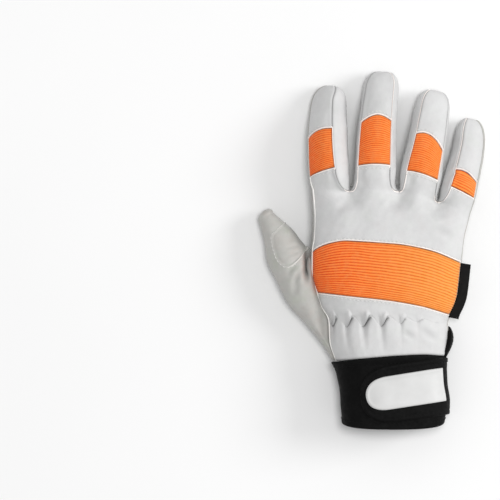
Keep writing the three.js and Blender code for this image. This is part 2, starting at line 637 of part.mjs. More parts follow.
// The patch over the thumb's joint, an oval laid on the shell: v along the thumb, w round it
function thumbPatchPoint(v, w) {
  const { from, to, low, high } = thumbPatchSpan;
  const along = Math.sin((v * Math.PI) / 2);
  const oval = Math.sqrt(Math.max(0, 1 - Math.abs(along) ** thumbPatchRoundness));
  const half = mix(thumbPatchEnd, 1, oval);
  return thumbPoint(mix(from, to, (1 + along) / 2), mix(low, high, (1 + w * half) / 2));
}
new Sheet('thumb_patch', patchWall, leather, { alone: true, lift: seamGap + patchWall, gap: 0 })
  .patch(spread(-1, 1, 8), spread(-1, 1, 9), thumbPatchPoint, true);

// The cuff. Degrees run from the thumb side, 0, over the back, 90, to the little finger, 180.
function cuffPoint(degrees, v) {
  const angle = THREE.MathUtils.degToRad(degrees);
  const e = 2 / cuffRoundness;
  const c = -Math.sign(Math.cos(angle)) * Math.abs(Math.cos(angle)) ** e;
  const q = Math.sign(Math.sin(angle)) * Math.abs(Math.sin(angle)) ** e;
  const at = (name) => column(cuffTable, name, v, 'v');
  const half = at('halfWidth');
  const height = at('height');
  const middle = cuffMiddle * height;
  const z = q > 0 ? middle + (height - middle) * q : middle + middle * cuffBelly * q;
  const x = at('x') + half * c;
  const seam = rowY(cuffLine, share(x, handTable[0].thumbX, handTable[0].littleX));
  const dip = cuffMouthDip * v * v * Math.max(0, q);
  return onFloor(vec(x, at('y') + (seam - cuffTable[0].y) * (1 - v) ** 2 - dip, z));
}
const cuffShort = cuffGap / (cuffTable[0].y - cuffTable.at(-1).y);
const cuffRows = [cuffShort, 0.1, 0.22, 0.4, 0.65, 0.85, 1];
new Sheet('cuff', neopreneWall, neoprene, { alone: true, tube: true, gap: 0 })
  .patch(cuffRows, spread(0, 360, 36), (v, a) => cuffPoint(a % 360, v), true);

// A point on the cuff by its angle and its y
function cuffAt(degrees, y) {
  let [low, high] = [0, 1];
  for (let i = 0; i < 24; i++) {
    const middle = (low + high) / 2;
    if (cuffPoint(degrees, middle).y > y) low = middle;
    else high = middle;
  }
  return cuffPoint(degrees, (low + high) / 2);
}

// A strip laid round the cuff from one angle to another, with its first end rounded
function stripPoint({ from, to, y, slope, halfWidth, rounding }, t, w) {
  const angle = mix(from, to, t);
  const end = Math.min(1, (t * (to - from)) / rounding);
  const half = halfWidth * Math.sqrt(Math.max(0, 1 - (1 - end) ** stripRoundness));
  const under = cuffTable[2];
  const sideways = cuffPoint(angle, under.v).x - under.x;
  return cuffAt(angle, y + slope * sideways + half * w);
}
const strapStrip = {
  from: strapFrom,
  to: strapTo,
  y: strapY,
  slope: strapSlope,
  halfWidth: strapHalfWidth,
  rounding: 42,
};
const badgeStrip = {
  from: badgeFrom,
  to: badgeTo,
  y: badgeY,
  slope: badgeSlope,
  halfWidth: badgeHalfWidth,
  rounding: 24,
};
const strapSteps = [0.005, 0.025, 0.06, 0.12, ...spread(0.2, 1, 12)];
new Sheet('cuff_strap', strapWall, neoprene, { alone: true, lift: seamGap + strapWall, gap: 0 })
  .patch(strapSteps, spread(-1, 1, 5), (t, w) => stripPoint(strapStrip, t, w), true);
const badgeLift = 2 * seamGap + strapWall + badgeWall;
const badgeSteps = [0.01, 0.05, 0.12, 0.21, ...spread(0.32, 1, 6)];
new Sheet('strap_badge', badgeWall, rubber, { alone: true, lift: badgeLift, gap: 0 })
  .patch(badgeSteps, spread(-1, 1, 4), (t, w) => stripPoint(badgeStrip, t, w), true);

// The gusset: a tongue standing up from the cuff outside the leather, on the little-finger side.
// w runs from the back, -1, to the palm, 1.
function gussetPoint(v, w) {
  const u = mix(gussetFoot, gussetTop, v);
  const half = mix(gussetTipWidth, 1, Math.sqrt(1 - v ** 3));
  const turn = mix(gussetTurn.back, gussetTurn.palm, (1 + w * half) / 2);
  const p = (turn > 0 ? handPalm : handBack)(u, (1 + Math.cos(turn)) / 2);
  p.x += gussetBulge * Math.sin(Math.PI * v) * (1 - w * w);
  return p;
}
new Sheet('cuff_gusset', gussetWall, neoprene, { alone: true, lift: gussetLift + gussetWall, gap: 0 })
  .patch(spread(0, 1, 6), spread(-1, 1, 6), gussetPoint);

// The label: a folded tag that stands out from the little-finger seam
new Sheet('side_label', labelWall, woven, { alone: true, gap: 0 })
  .patch(spread(labelFrom, labelTo, 4), [0, 1], (u, t) => {
    const seam = handBack(u, 1);
    return seam.add(vec(labelGap + labelWidth * t, -labelLean * t, labelLift - labelDroop * t));
  });

const glove = new THREE.Group();
glove.name = 'leather_work_glove';
const sums = seamNormals();
for (const sheet of sheets) {
  const mesh = new THREE.Mesh(wallOf(sheet, sums), sheet.material);
  mesh.name = sheet.name;
  glove.add(mesh);
}

export default glove;
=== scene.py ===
from math import pi, radians
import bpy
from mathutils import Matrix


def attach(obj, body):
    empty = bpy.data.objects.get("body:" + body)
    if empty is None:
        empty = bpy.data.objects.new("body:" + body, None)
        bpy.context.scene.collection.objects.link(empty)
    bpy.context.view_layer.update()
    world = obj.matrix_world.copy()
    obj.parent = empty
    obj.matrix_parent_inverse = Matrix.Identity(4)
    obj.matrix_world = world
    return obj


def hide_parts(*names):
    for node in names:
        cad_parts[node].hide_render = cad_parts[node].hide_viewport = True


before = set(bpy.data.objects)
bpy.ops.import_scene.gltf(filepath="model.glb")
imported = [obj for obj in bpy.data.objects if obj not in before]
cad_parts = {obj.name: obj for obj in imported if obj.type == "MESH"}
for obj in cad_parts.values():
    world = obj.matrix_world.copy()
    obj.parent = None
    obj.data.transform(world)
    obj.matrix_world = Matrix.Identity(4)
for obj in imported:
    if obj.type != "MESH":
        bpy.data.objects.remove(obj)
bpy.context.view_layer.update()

from types import SimpleNamespace

import bpy
import numpy as np
from mathutils import Vector

# A right-hand leather work glove, lying palm down. Lengths are in millimetres until a mesh is filled.
toMetres = 0.001


# Small helpers on whole arrays
def mix(a, b, t):
    return a + (b - a) * t


def share(t, a, b):  # how far t is from a to b, from 0 to 1
    return np.clip((t - a) / (b - a), 0, 1)


def smooth(t):  # the cubic that leaves 0 and reaches 1 without a slope
    return t * t * (3 - 2 * t)


def bump(d, width):  # a bell of height 1 round 0
    return np.exp(-((d / width) ** 2))


def bell(d, height, place, width):  # a bump of the given height round a place
    return height * bump(d - place, width)


def ease(t, a, b):  # how far t is from a to b, without a slope at either end
    return smooth(share(t, a, b))


def hill(t):  # a parabola, 0 at both ends and 1 in the middle
    return 4 * t * (1 - t)


def squared(c, power):  # a sine or cosine raised to a power, with its sign
    return np.sign(c) * np.abs(c) ** power


def lengthsAlong(path):  # how far each point is from the first, along the path
    return np.concatenate([[0], np.cumsum(np.linalg.norm(np.diff(path, axis=0), axis=1))])


def vec(x, y, z):  # points, where any of the three may be a single number
    return np.stack(np.broadcast_arrays(x, y, z), -1).astype(float)


def unit(v):  # directions of length 1
    return v / np.maximum(np.linalg.norm(v, axis=-1, keepdims=True), 1e-9)


# A smooth curve through knots that never overshoots: cubic pieces whose slope at a knot is the
# harmonic mean of the two rises beside it, or 0 where they disagree.
def through(knots, values, t):
    t = np.asarray(t, float)
    knots = np.asarray(knots, float)
    values = np.stack([np.broadcast_to(v, t.shape) for v in values]).astype(float)
    widths = np.diff(knots).reshape((-1,) + (1,) * t.ndim)
    rises = np.diff(values, axis=0) / widths
    a, b = rises[:-1], rises[1:]
    wa, wb = 2 * widths[1:] + widths[:-1], widths[1:] + 2 * widths[:-1]
    same = a * b > 0
    inner = np.where(same, (wa + wb) * a * b / np.where(same, wa * b + wb * a, 1), 0)
    slopes = np.concatenate([rises[:1], inner, rises[-1:]])
    i = np.clip(np.searchsorted(knots, t) - 1, 0, len(knots) - 2)
    pick = lambda table, k: np.take_along_axis(table, k[None], 0)[0]
    h = np.diff(knots)[i]
    q = (t - knots[i]) / h
    return (
        pick(values, i) * (1 + 2 * q) * (1 - q) ** 2 + h * pick(slopes, i) * q * (1 - q) ** 2
        + pick(values, i + 1) * q * q * (3 - 2 * q) - h * pick(slopes, i + 1) * q * q * (1 - q)
    )


def column(table, name, t):  # a table is its column names and its rows; the first column is the knots
    names, rows = table
    k = names.index(name)
    return through([row[0] for row in rows], [row[k] for row in rows], t)


# Shares 0 to 1 along a length. Within edge of an end that is a seam their pitch goes from coarse
# down to fine: the density, 1 over the pitch, is added up and read off at whole numbers.
def steps(length, fine=0.25, coarse=0.9, edge=3.0, low=True, high=True):
    x = np.linspace(0, length, 600)
    inset = np.full_like(x, edge)
    if low:
        inset = np.minimum(inset, x)
    if high:
        inset = np.minimum(inset, length - x)
    density = 1 / mix(fine, coarse, smooth(inset / edge))
    count = np.concatenate([[0], np.cumsum((density[1:] + density[:-1]) / 2 * np.diff(x))])
    return np.interp(np.linspace(0, count[-1], int(np.ceil(count[-1])) + 1), count, x / length)


# Rows along the glove are counted by u: 0 cuff line, 1 gather line, 2 and 3 edges of the knuckle
# band, 4 finger crotches, 5 and 6 edges of a finger's ribbing, 7 fingertip. f is the share of the
# hand's width from the thumb side, and w the share of one finger's width.
cuffLine, gatherLine, bandLow, bandHigh, crotchLine, ribLow, ribHigh, tipLine = range(8)
# About how long the glove is from one row to the next, which sets how closely it is sampled
rowLength = {"wrist": 29, "gathers": 18, "band": 36, "palmBand": 34, "knuckles": 43, "fingerBase": 15}
rowTable = (
    ("u", "thumbSeam", "crotch1", "crotch2", "crotch3", "littleSeam"),
    (
        (0, -80.4, -78.5, -76.4, -75.6, -76.7),
        (1, -51.5, -50.8, -50.4, -50.8, -53.5),
        (2, -30.8, -33.3, -36.6, -40.8, -46.6),
        (3, -0.8, 6.3, 4.7, -0.1, -8.8),
        (4, 44.1, 43.4, 43.4, 35.7, 27.3),
    ),
)
handTable = (
    ("u", "thumbX", "littleX", "seamZ", "crownZ", "palmZ"),
    (
        (0, -25.0, 54.2, 21, 42, 0),
        (0.5, -29.7, 55.9, 20, 41.5, 0),
        (1, -30.4, 55.5, 19.5, 41, 0),
        (1.5, -35.3, 56.2, 19.5, 42, 1.5),
        (2, -38.5, 57.2, 20, 42.5, 4),
        (2.5, -42.1, 63.0, 21, 42.5, 6.5),
        (3, -42.3, 65.5, 22, 41.5, 8.5),
        (3.5, -41.3, 67.7, 23, 39.5, 10.5),
        (4, -42.9, 72.2, 24, 37, 12),
    ),
)
fingerColumns = ("u", "x", "y", "z", "lean", "halfWidth", "halfThick", "roll")
fingerTable = {
    "index": (
        (4, -28.5, 43.7, 24.5, -1.5, 15.5, 12.5, 25),
        (5, -29.9, 56.5, 25.5, 3, 14.8, 12.3, 37),
        (6, -31.1, 85.0, 20.5, 2, 14.8, 11.5, 42),
        (6.6, -30.3, 106.0, 10.5, -3, 13.0, 10.5, 42),
        (7, -27.6, 119.5, 7.5, -11, 12.2, 9.5, 38),
    ),
    "middle": (
        (4, 2.7, 43.4, 24.5, 0, 15.2, 12.5, 6),
        (5, 3.6, 61.6, 26.5, -2.5, 15.3, 12.2, 8),
        (6, 5.3, 94.5, 21.0, -3.5, 14.1, 11.5, 8),
        (6.6, 7.6, 115.6, 10.5, -5, 13.1, 10.5, 8),
        (7, 9.6, 129.9, 7.5, -5, 12.8, 9.5, 8),
    ),
    "ring": (
        (4, 34.5, 40.1, 24.5, -15.7, 14.3, 12.3, -3),
        (5, 36.7, 54.7, 26.0, -11, 15.2, 12.0, -5),
        (6, 41.6, 81.7, 21.0, -9.5, 13.9, 11.3, -12),
        (6.6, 45.0, 101.8, 10.5, -9, 12.9, 10.3, -13),
        (7, 47.6, 116.2, 7.5, -10, 12.4, 9.5, -12),
    ),
    "little": (
        (4, 59.9, 31.5, 23.5, -19.8, 12.6, 11.5, -20),
        (5, 63.4, 43.0, 24.0, -17, 12.9, 11.0, -25),
        (6, 66.0, 53.4, 21.5, -15, 12.4, 10.7, -25),
        (6.6, 71.5, 77.7, 10.0, -11, 11.3, 9.8, -25),
        (7, 73.2, 95.8, 7.0, -7, 10.6, 8.8, -25),
    ),
}
fingerNames = list(fingerTable)
# How far the ribbing's lower and upper edge stray from their rows at the left, middle and right
ribEdges = {
    "index": ((-0.15, 0.02, 0.13), (-0.09, 0, 0)),
    "middle": ((-0.02, 0.04, 0.03), (-0.11, 0.02, -0.06)),
    "ring": ((0.05, 0.03, -0.05), (-0.03, -0.03, -0.29)),
    "little": ((0.12, 0, -0.12), (0.02, 0.02, -0.12)),
}
hand = {
    "crotchShares": (0, 0.2406, 0.555, 0.7955, 1), "palmCrotchForward": 3.4, "sideShare": 0.06,
    "backRoundness": 2.3, "palmRoundness": 3, "thumbSideLift": 1.6,
    "valleyDepth": 8, "valleyWidth": 11.5, "valleyStart": 3.55, "palmValley": 3, "palmValleyStart": 3.4,
    "shoulder": 1.9, "shoulderShare": 0.075, "shoulderReach": 0.55,
}
finger = {
    "cornerWidth": 0.79, "cornerThick": 0.72, "crotchReach": 12, "settleReach": 20,
    "tipStart": 6.6, "tipRoundness": 2.5, "tipSideRoundness": 2.3,
    "tipWidthLeft": {"index": 0.24, "middle": 0.42, "ring": 0.42, "little": 0.4},
    "pitchStep": 0.05, "crotchHollow": 1.5,
}


# y of a row: the curve through its five named points
def rowY(u, f):
    seams = [column(rowTable, name, u) for name in rowTable[0][1:]]
    return through(hand["crotchShares"], seams, f)


# Between two fingers the hand sinks by (1 - (d / width)^2)^2, where d is the distance to the crotch.
def crotchBumps(f, width):
    valley = lambda at: np.maximum(0, 1 - ((f - at) * width / hand["valleyWidth"]) ** 2) ** 2
    return sum(valley(at) for at in hand["crotchShares"][1:4])


# A superellipse arch over the shares 0 to 1: (1 - |1 - 2f|^n)^(1/n)
def arch(f, n):
    return np.maximum(0, 1 - np.abs(1 - 2 * f) ** n) ** (1 / n)


def onFloor(p):  # nothing reaches below the floor
    p[..., 2] = np.maximum(p[..., 2], 0)
    return p


def handFrame(u):  # the hand's left edge, its width and how high its side seams lie
    left = column(handTable, "thumbX", u)
    return left, column(handTable, "littleX", u) - left, column(handTable, "seamZ", u)


# The back is an arch from seam to seam, a little higher on the thumb side. The band's upper edge
# rounds over towards the thumb: it moves forward by t e^(1 - t).
def handBack(u, f):
    left, width, seam = handFrame(u)
    crown = column(handTable, "crownZ", u) - seam + hand["thumbSideLift"] * (0.5 - f)
    sunk = ease(u, hand["valleyStart"], crotchLine) * hand["valleyDepth"]
    t = f / hand["shoulderShare"]
    shoulder = hand["shoulder"] * t * np.exp(1 - t) * bump(u - bandHigh, hand["shoulderReach"])
    height = seam + crown * arch(f, hand["backRoundness"]) - sunk * crotchBumps(f, width)
    return vec(left + width * f, rowY(u, f) + shoulder, height)


# The palm is an arch downwards, flattened by the floor. In the crotches it lies higher and further
# forward than the back.
def handPalm(u, f):
    left, width, seam = handFrame(u)
    drop = seam - column(handTable, "palmZ", u)
    bumps = crotchBumps(f, width)
    lift = hand["palmValley"] * ease(u, hand["palmValleyStart"], crotchLine) * bumps
    forward = hand["palmCrotchForward"] * ease(u, bandHigh, crotchLine) * np.minimum(1, bumps)
    height = seam - drop * arch(f, hand["palmRoundness"]) + lift
    return onFloor(vec(left + width * f, rowY(u, f) + forward, height))


def fingerAt(name, key, u):  # a value of a finger's table
    return column((fingerColumns, fingerTable[name]), key, u)


# A finger's section: its centre, its directions and its half sizes, which close at the tip as a
# superellipse does: half size times (1 - end^n)^(1/n).
def section(name, u):
    at = lambda key, t=u: fingerAt(name, key, t)
    before = np.maximum(crotchLine, u - finger["pitchStep"])
    after = np.minimum(tipLine, u + finger["pitchStep"])
    pitch = np.arctan2(at("z", after) - at("z", before), at("y", after) - at("y", before))[..., None]
    lean, roll = np.radians(at("lean")), np.radians(at("roll"))[..., None]
    across = vec(np.cos(lean), np.sin(lean), 0)
    level = vec(-np.sin(lean), np.cos(lean), 0)
    up = vec(0, 0, 1) * np.cos(pitch) - level * np.sin(pitch)
    end = share(u, finger["tipStart"], tipLine)
    n, m = finger["tipRoundness"], finger["tipSideRoundness"]
    lostWidth = 1 - finger["tipWidthLeft"][name] ** n
    return {
        "centre": vec(at("x"), at("y"), at("z")),
        "along": level * np.cos(pitch) + vec(0, 0, 1) * np.sin(pitch),
        "right": across * np.cos(roll) + up * np.sin(roll),
        "top": up * np.cos(roll) - across * np.sin(roll),
        "a": (at("halfWidth") * (1 - lostWidth * end ** n) ** (1 / n))[..., None],
        "b": (at("halfThick") * np.maximum(0, 1 - end ** m) ** (1 / m))[..., None],
    }


# One of the four seams along a finger: side -1 left or 1 right, face 1 back or -1 palm
def corner(name, u, side, face):
    s = section(name, u)
    return (
        s["centre"] + s["right"] * side * s["a"] * finger["cornerWidth"]
        + s["top"] * face * s["b"] * finger["cornerThick"]
    )


def leaving(name, u, reach):  # 0 in the crotch, 1 where the seam has reached the finger's side
    return share(fingerAt(name, "y", u) - fingerTable[name][0][2], 0, reach)


# u as it is felt at w, where the rows bend with the ribbing's edges: each edge strays by the parabola
# through its three values
def skewed(name, u, w):
    stray = lambda e: e[0] * (1 - w) * (1 - 2 * w) + e[1] * hill(w) + e[2] * w * (2 * w - 1)
    low, high = (stray(edge) for edge in ribEdges[name])
    below = u + low * ease(u, crotchLine, ribLow)
    above = u + high * ease(u, tipLine, ribHigh)
    return np.where(u < ribLow, below, np.where(u < ribHigh, u + mix(low, high, u - ribLow), above))


def isOuter(name, side):  # whether a finger has no finger beside it on this side
    return name == "index" and side < 0 or name == "little" and side > 0


def shares(name):  # where a finger begins and ends across the hand
    i = fingerNames.index(name)
    return hand["crotchShares"][i], hand["crotchShares"][i + 1]


# From the hand's point at the crotch line onto the finger's own shape. A springy seam leaves in a U,
# as a quarter circle does, and the rest settles smoothly.
def leave(name, u, springy, start, shape):
    out = leaving(name, u, finger["crotchReach"])[..., None]
    settled = smooth(leaving(name, u, finger["settleReach"]))[..., None]
    settle = (start - shape(np.full_like(u, crotchLine))) * (1 - settled)
    spring = (start - shape(u)) * (1 - np.sqrt(1 - (1 - out) ** 2))
    return onFloor(shape(u) + mix(settle, spring, np.asarray(springy)[..., None]))


def springiness(name, w):  # 1 at a seam beside another finger, 0 in the middle and on the outer sides
    outer = np.where(w < 0.5, isOuter(name, -1), isOuter(name, 1))
    return np.where(outer, 0, (2 * w - 1) ** 2)


def crowded(name, w):  # columns crowd towards the sides of the hand, where the back turns down
    if name == "index":
        return 1 - np.cos(w * pi / 2)
    return np.sin(w * pi / 2) if name == "little" else w


def fullness(s, w):  # how far a finger's back or palm stands past the line between its seams
    return s["top"] * s["b"] * (1 - finger["cornerThick"]) * hill(w)[..., None]


# Below the crotch line a finger's back is the hand's. Past it, it lies between the two back seams.
def fingerBack(name, u, w):
    f = mix(*shares(name), crowded(name, w))
    if u.max() <= crotchLine:
        return handBack(u, f)

    def shape(v):
        at = skewed(name, v, w)
        between = mix(corner(name, at, -1, 1), corner(name, at, 1, 1), w[..., None])
        return between + fullness(section(name, at), w)

    return leave(name, u, springiness(name, w), handBack(np.full_like(u, crotchLine), f), shape)


def backSeam(name, u, side):  # follows the ribbing's edges
    return corner(name, skewed(name, u, (1 + side) / 2), side, 1)


def palmSeam(name, u, side):  # between two fingers it lies further forward in the crotch
    near = 0 if isOuter(name, side) else 1 - smooth(leaving(name, u, finger["crotchReach"]))[..., None]
    return corner(name, u, side, -1) + section(name, u)["along"] * hand["palmCrotchForward"] * near


# Where the palm starts beside the thumb's opening, as a share of the hand's width
holeTable = (
    ("u", "share"),
    ((0, 0.1), (0.8, 0.25), (1.6, 0.31), (2.4, 0.24), (3, hand["sideShare"])),
)


# As the back, between the two palm seams
def fingerPalm(name, u, w):
    lowest, highest = hand["sideShare"], 1 - hand["sideShare"]
    f = mix(*(np.clip(s, lowest, highest) for s in shares(name)), w)
    if u.max() <= crotchLine:  # below the band's upper edge the palm starts at the thumb's opening
        start = np.where(u < bandHigh, column(holeTable, "share", u), lowest)
        return handPalm(u, mix(start, highest, share(f, lowest, highest)))

    def shape(v):
        between = mix(palmSeam(name, v, -1), palmSeam(name, v, 1), w[..., None])
        return between - fullness(section(name, v), w)

    return leave(name, u, springiness(name, w), handPalm(np.full_like(u, crotchLine), f), shape)


# A finger's side between its back seam, t 0, and its palm seam, t 1, bulging as a parabola does
def fingerSide(name, u, side, t):
    outer = isOuter(name, side)
    f = (1 - np.cos(t * np.arccos(1 - 2 * hand["sideShare"]))) / 2
    onHand = lambda v: handPalm(v, f if side < 0 else 1 - f)
    if outer and u.max() <= crotchLine:
        return onHand(u)
    crotch = np.full_like(u, crotchLine)
    at = np.full_like(u, shares(name)[0 if side < 0 else 1])
    if outer:
        start = onHand(crotch)
    else:
        start = mix(handBack(crotch, at), handPalm(crotch, at), t[..., None])
        start[..., 1] -= finger["crotchHollow"] * hill(t)

    def shape(v):
        s = section(name, v)
        bulge = s["right"] * side * s["a"] * (1 - finger["cornerWidth"]) * hill(t)[..., None]
        return mix(backSeam(name, v, side), palmSeam(name, v, side), t[..., None]) + bulge

    return leave(name, u, np.full_like(u, 0 if outer else 1), start, shape)


# The thumb: rings from its base to its tip, each from a web point to an outer point. At its opening
# the outer side bulges by a power of the sine, and openingTurns are the degrees at its corners.
thumbTable = (
    ("s", "webX", "webY", "outX", "outY", "midZ", "halfThick"),
    (
        (1, -43.1, 1.0, -44.4, -55.4, 15.0, 14.8),
        (2, -44.6, 2.0, -58.3, -41.2, 14.3, 14.6),
        (3, -47.2, 3.2, -68.5, -21.6, 13.4, 13.8),
        (4, -51.3, 7.0, -75.2, -6.6, 12.6, 13.0),
        (5, -57.1, 14.4, -77.0, 5.3, 11.6, 12.0),
        (6, -64.4, 22.0, -79.4, 14.0, 10.4, 10.8),
        (7, -71.0, 27.6, -82.0, 22.2, 8.6, 8.4),
    ),
)
thumb = {
    "tip": (-76.8, 29.5, 8.0), "squareness": 0.86, "lastRing": 7,
    "sideBulge": 3.6, "sideRoundness": 0.8, "openingTurns": (148, 38, -38, -142, -212),
}


# The points round the thumb's opening and their degrees round the thumb: along the back's seam, down
# the index finger's side, along the palm and round the outer side. Each stretch shares out its turn
# by length.
def thumbOpening(rows, sideSteps, outerSteps):
    ones = lambda t, value: np.full_like(t, value)
    back = handBack(rows, ones(rows, 0))
    web = fingerSide("index", ones(sideSteps, bandHigh), -1, sideSteps)[1:]
    under = fingerPalm("index", rows[::-1], ones(rows, 0))[1:]
    t = outerSteps[1:-1]
    low = holeTable[1][0][1]
    outer = handPalm(ones(t, cuffLine), low * (1 - t) ** 2)
    outer[:, 0] -= thumb["sideBulge"] * np.sin(pi * t) ** thumb["sideRoundness"]
    ring = np.concatenate([back, web, under, outer])
    lengths = lengthsAlong(np.concatenate([ring, ring[:1]]))
    ends = np.cumsum([0, len(back) - 1, len(web), len(under), len(outer) + 1])
    return ring, np.interp(lengths[:-1], lengths[ends], thumb["openingTurns"])


# A ring is web or outer point at the cosine of the angle and its half thickness times the sine, both
# raised to a power under 1. Past the last ring it shrinks by a cosine onto the tip.
def thumbPoint(s, degrees, start=None):
    angle = np.radians(degrees)
    c, q = squared(np.cos(angle), thumb["squareness"]), squared(np.sin(angle), thumb["squareness"])
    rows = thumbTable[1]
    rings = [vec(mix(r[3], r[1], (1 + c) / 2), mix(r[4], r[2], (1 + c) / 2), r[5] + r[6] * q) for r in rows]
    first = rings[0] if start is None else start
    knots = [0] + [r[0] for r in rows]
    upToLast = np.repeat(np.minimum(s, thumb["lastRing"])[..., None], 3, -1)
    body = through(knots, [first] + rings, upToLast)
    turn = (np.maximum(s - thumb["lastRing"], 0) * pi / 2)[..., None]
    last = rows[-1]
    middle = vec((last[3] + last[1]) / 2, (last[4] + last[2]) / 2, last[5])
    closing = mix(middle, np.array(thumb["tip"]), np.sin(turn)) + (rings[-1] - middle) * np.cos(turn)
    return onFloor(np.where((s > thumb["lastRing"])[..., None], closing, body))


# Two triangles for each cell of a grid of point numbers. Where it wraps, its first column follows
# its last.
def gridTriangles(k, wrap=False):
    if wrap:
        k = np.concatenate([k, k[:, :1]], 1)
    a, b, c, d = (x.ravel() for x in (k[:-1, :-1], k[:-1, 1:], k[1:, 1:], k[1:, :-1]))
    return np.concatenate([np.stack([a, b, c], -1), np.stack([a, c, d], -1)])


# A patch is a shape worked out on a grid of rows and columns
def patch(rows, columns, shape, turned=False, wrap=False):
    u, w = np.meshgrid(rows, columns, indexing="ij")
    triangles = gridTriangles(np.arange(u.size).reshape(u.shape), wrap)
    if turned:
        triangles = triangles[:, ::-1]
    at = np.stack([u.ravel(), w.ravel()], -1)
    return {"points": shape(u, w).reshape(-1, 3), "triangles": triangles, "at": at}


def joined(parts):  # several points and triangles as one
    offsets = np.cumsum([0] + [len(points) for points, _ in parts[:-1]])
    return np.concatenate([p for p, _ in parts]), np.concatenate([t + o for (_, t), o in zip(parts, offsets)])


def weld(patches, grain=1e-3):  # patches become one where their points fall together
    points, triangles = joined([(p["points"], p["triangles"]) for p in patches])
    at = np.concatenate([p["at"] for p in patches])
    rounded = np.round(points / grain).astype(np.int64)
    _, first, inverse = np.unique(rounded, axis=0, return_index=True, return_inverse=True)
    triangles = inverse.ravel()[triangles]
    a, b, c = triangles.T
    return points[first], triangles[(a != b) & (b != c) & (c != a)], at[first]


def normalsOf(points, triangles):  # the sum of the triangles' normals, weighted by their areas
    a, b, c = (points[triangles[:, i]] for i in range(3))
    faces = np.repeat(np.cross(b - a, c - a), 3, axis=0)
    sums = [np.bincount(triangles.ravel(), faces[:, k], len(points)) for k in range(3)]
    return unit(np.stack(sums, -1))


def edgesOf(triangles):  # directed edges
    return np.concatenate([triangles[:, [0, 1]], triangles[:, [1, 2]], triangles[:, [2, 0]]])


# Each point moves towards the mean of its neighbours, again and again, as far as its weight lets it
def relaxed(values, triangles, weight, times, step=0.5):
    edges = np.sort(edgesOf(triangles), 1)
    a, b = np.divmod(np.unique(edges @ [len(values), 1]), len(values))
    ends, others = np.concatenate([a, b]), np.concatenate([b, a])
    degree = np.maximum(np.bincount(ends, minlength=len(values)), 1)
    values = values.copy()
    for _ in range(times):
        for k in range(values.shape[1]):
            mean = np.bincount(ends, values[others, k], len(values)) / degree
            values[:, k] += weight * step * (mean - values[:, k])
    return values


def softNormals(points, triangles, times):  # relaxed, so that small unevenness doesn't turn them
    own = normalsOf(points, triangles)
    return unit(relaxed(own, triangles, np.ones(len(own)), times))


def rimOf(triangles, count):  # directed edges that only one triangle has
    edges = edgesOf(triangles)
    forth, back = edges @ [count, 1], edges @ [1, count]
    return edges[~np.isin(forth, back)]


def nearest(points, others, chunk=3000):  # index of the nearest of the others, and its distance
    index = np.empty(len(points), int)
    reach = np.empty(len(points))
    squares = (others ** 2).sum(1)
    for i in range(0, len(points), chunk):
        p = points[i:i + chunk]
        d = squares - 2 * p @ others.T
        k = d.argmin(1)
        index[i:i + chunk] = k
        reach[i:i + chunk] = np.linalg.norm(p - others[k], axis=1)
    return index, reach


# Distance from each point to a line of edges, and the nearest point of the line: the smaller of the
# distances to the two edges that meet at the nearest end.
def distanceTo(points, ends, starts, stops):
    index, _ = nearest(points, ends)
    best = np.full(len(points), np.inf)
    foot = np.zeros_like(points)
    for a, b in ((starts[index], ends[index]), (ends[index], stops[index])):
        along = b - a
        t = np.clip(((points - a) * along).sum(1) / np.maximum((along ** 2).sum(1), 1e-12), 0, 1)
        q = a + along * t[:, None]
        d = np.linalg.norm(points - q, axis=1)
        foot = np.where((d < best)[:, None], q, foot)
        best = np.minimum(best, d)
    return best, foot, index


# Leather eases in the crotches and round the thumb's base: how often its points are relaxed, over
# how many millimetres from the crotch line it dies out, and over which of the thumb's rings.
easing = {"times": 60, "crotch": (3, 11), "thumb": (1.1, 2.6)}


def easedCrotch(u):  # 1 near the crotch line, fading on both sides
    onHand, onFinger = (crotchLine - u) * rowLength["knuckles"], (u - crotchLine) * rowLength["fingerBase"]
    return smooth(1 - share(np.where(u < crotchLine, onHand, onFinger), *easing["crotch"]))


def easedThumb(s):  # 1 at the thumb's opening, fading over its first rings
    return 1 - ease(s, *easing["thumb"])


# A sheet knows its rim, the points before and after each point of the rim, and what lies inside it.
def newSheet(name, kind, wall, patches, relax=None):
    points, triangles, at = weld(patches)
    rim = rimOf(triangles, len(points))
    after = np.full(len(points), -1)
    before = np.full(len(points), -1)
    after[rim[:, 0]], before[rim[:, 1]] = rim[:, 1], rim[:, 0]
    ends = np.unique(rim)
    inside = np.ones(len(points))
    inside[ends] = 0
    if relax:
        points = relaxed(points, triangles, inside * relax(at[:, 0]), easing["times"])
    return {
        "name": name, "kind": kind, "wall": wall, "points": points, "triangles": triangles, "u": at[:, 0],
        "w": at[:, 1], "rim": rim, "ends": ends, "after": after, "before": before, "inside": inside,
    }


# Where sheets are sewn together, and which of their edges have a pale trim: those beside the ribbing,
# round the crotches and along some side walls.
sewn = {
    "near": 0.7, "mitreReach": 2.2, "smoothings": 8, "untrimmed": 99.0,
    "trimmedCrotch": 20, "taper": (3.5, 10), "thinner": 0.45, "crotchThinner": 1.2, "rightOf": 0.6,
    "ribClear": 0.08,
    "pipedSides": (  # side walls with a pale trim along a fingertip
        ("middle_ring_fourchette", "middle_tip"), ("middle_ring_fourchette", "ring_tip"),
        ("ring_little_fourchette", "little_tip"),
    ),
}


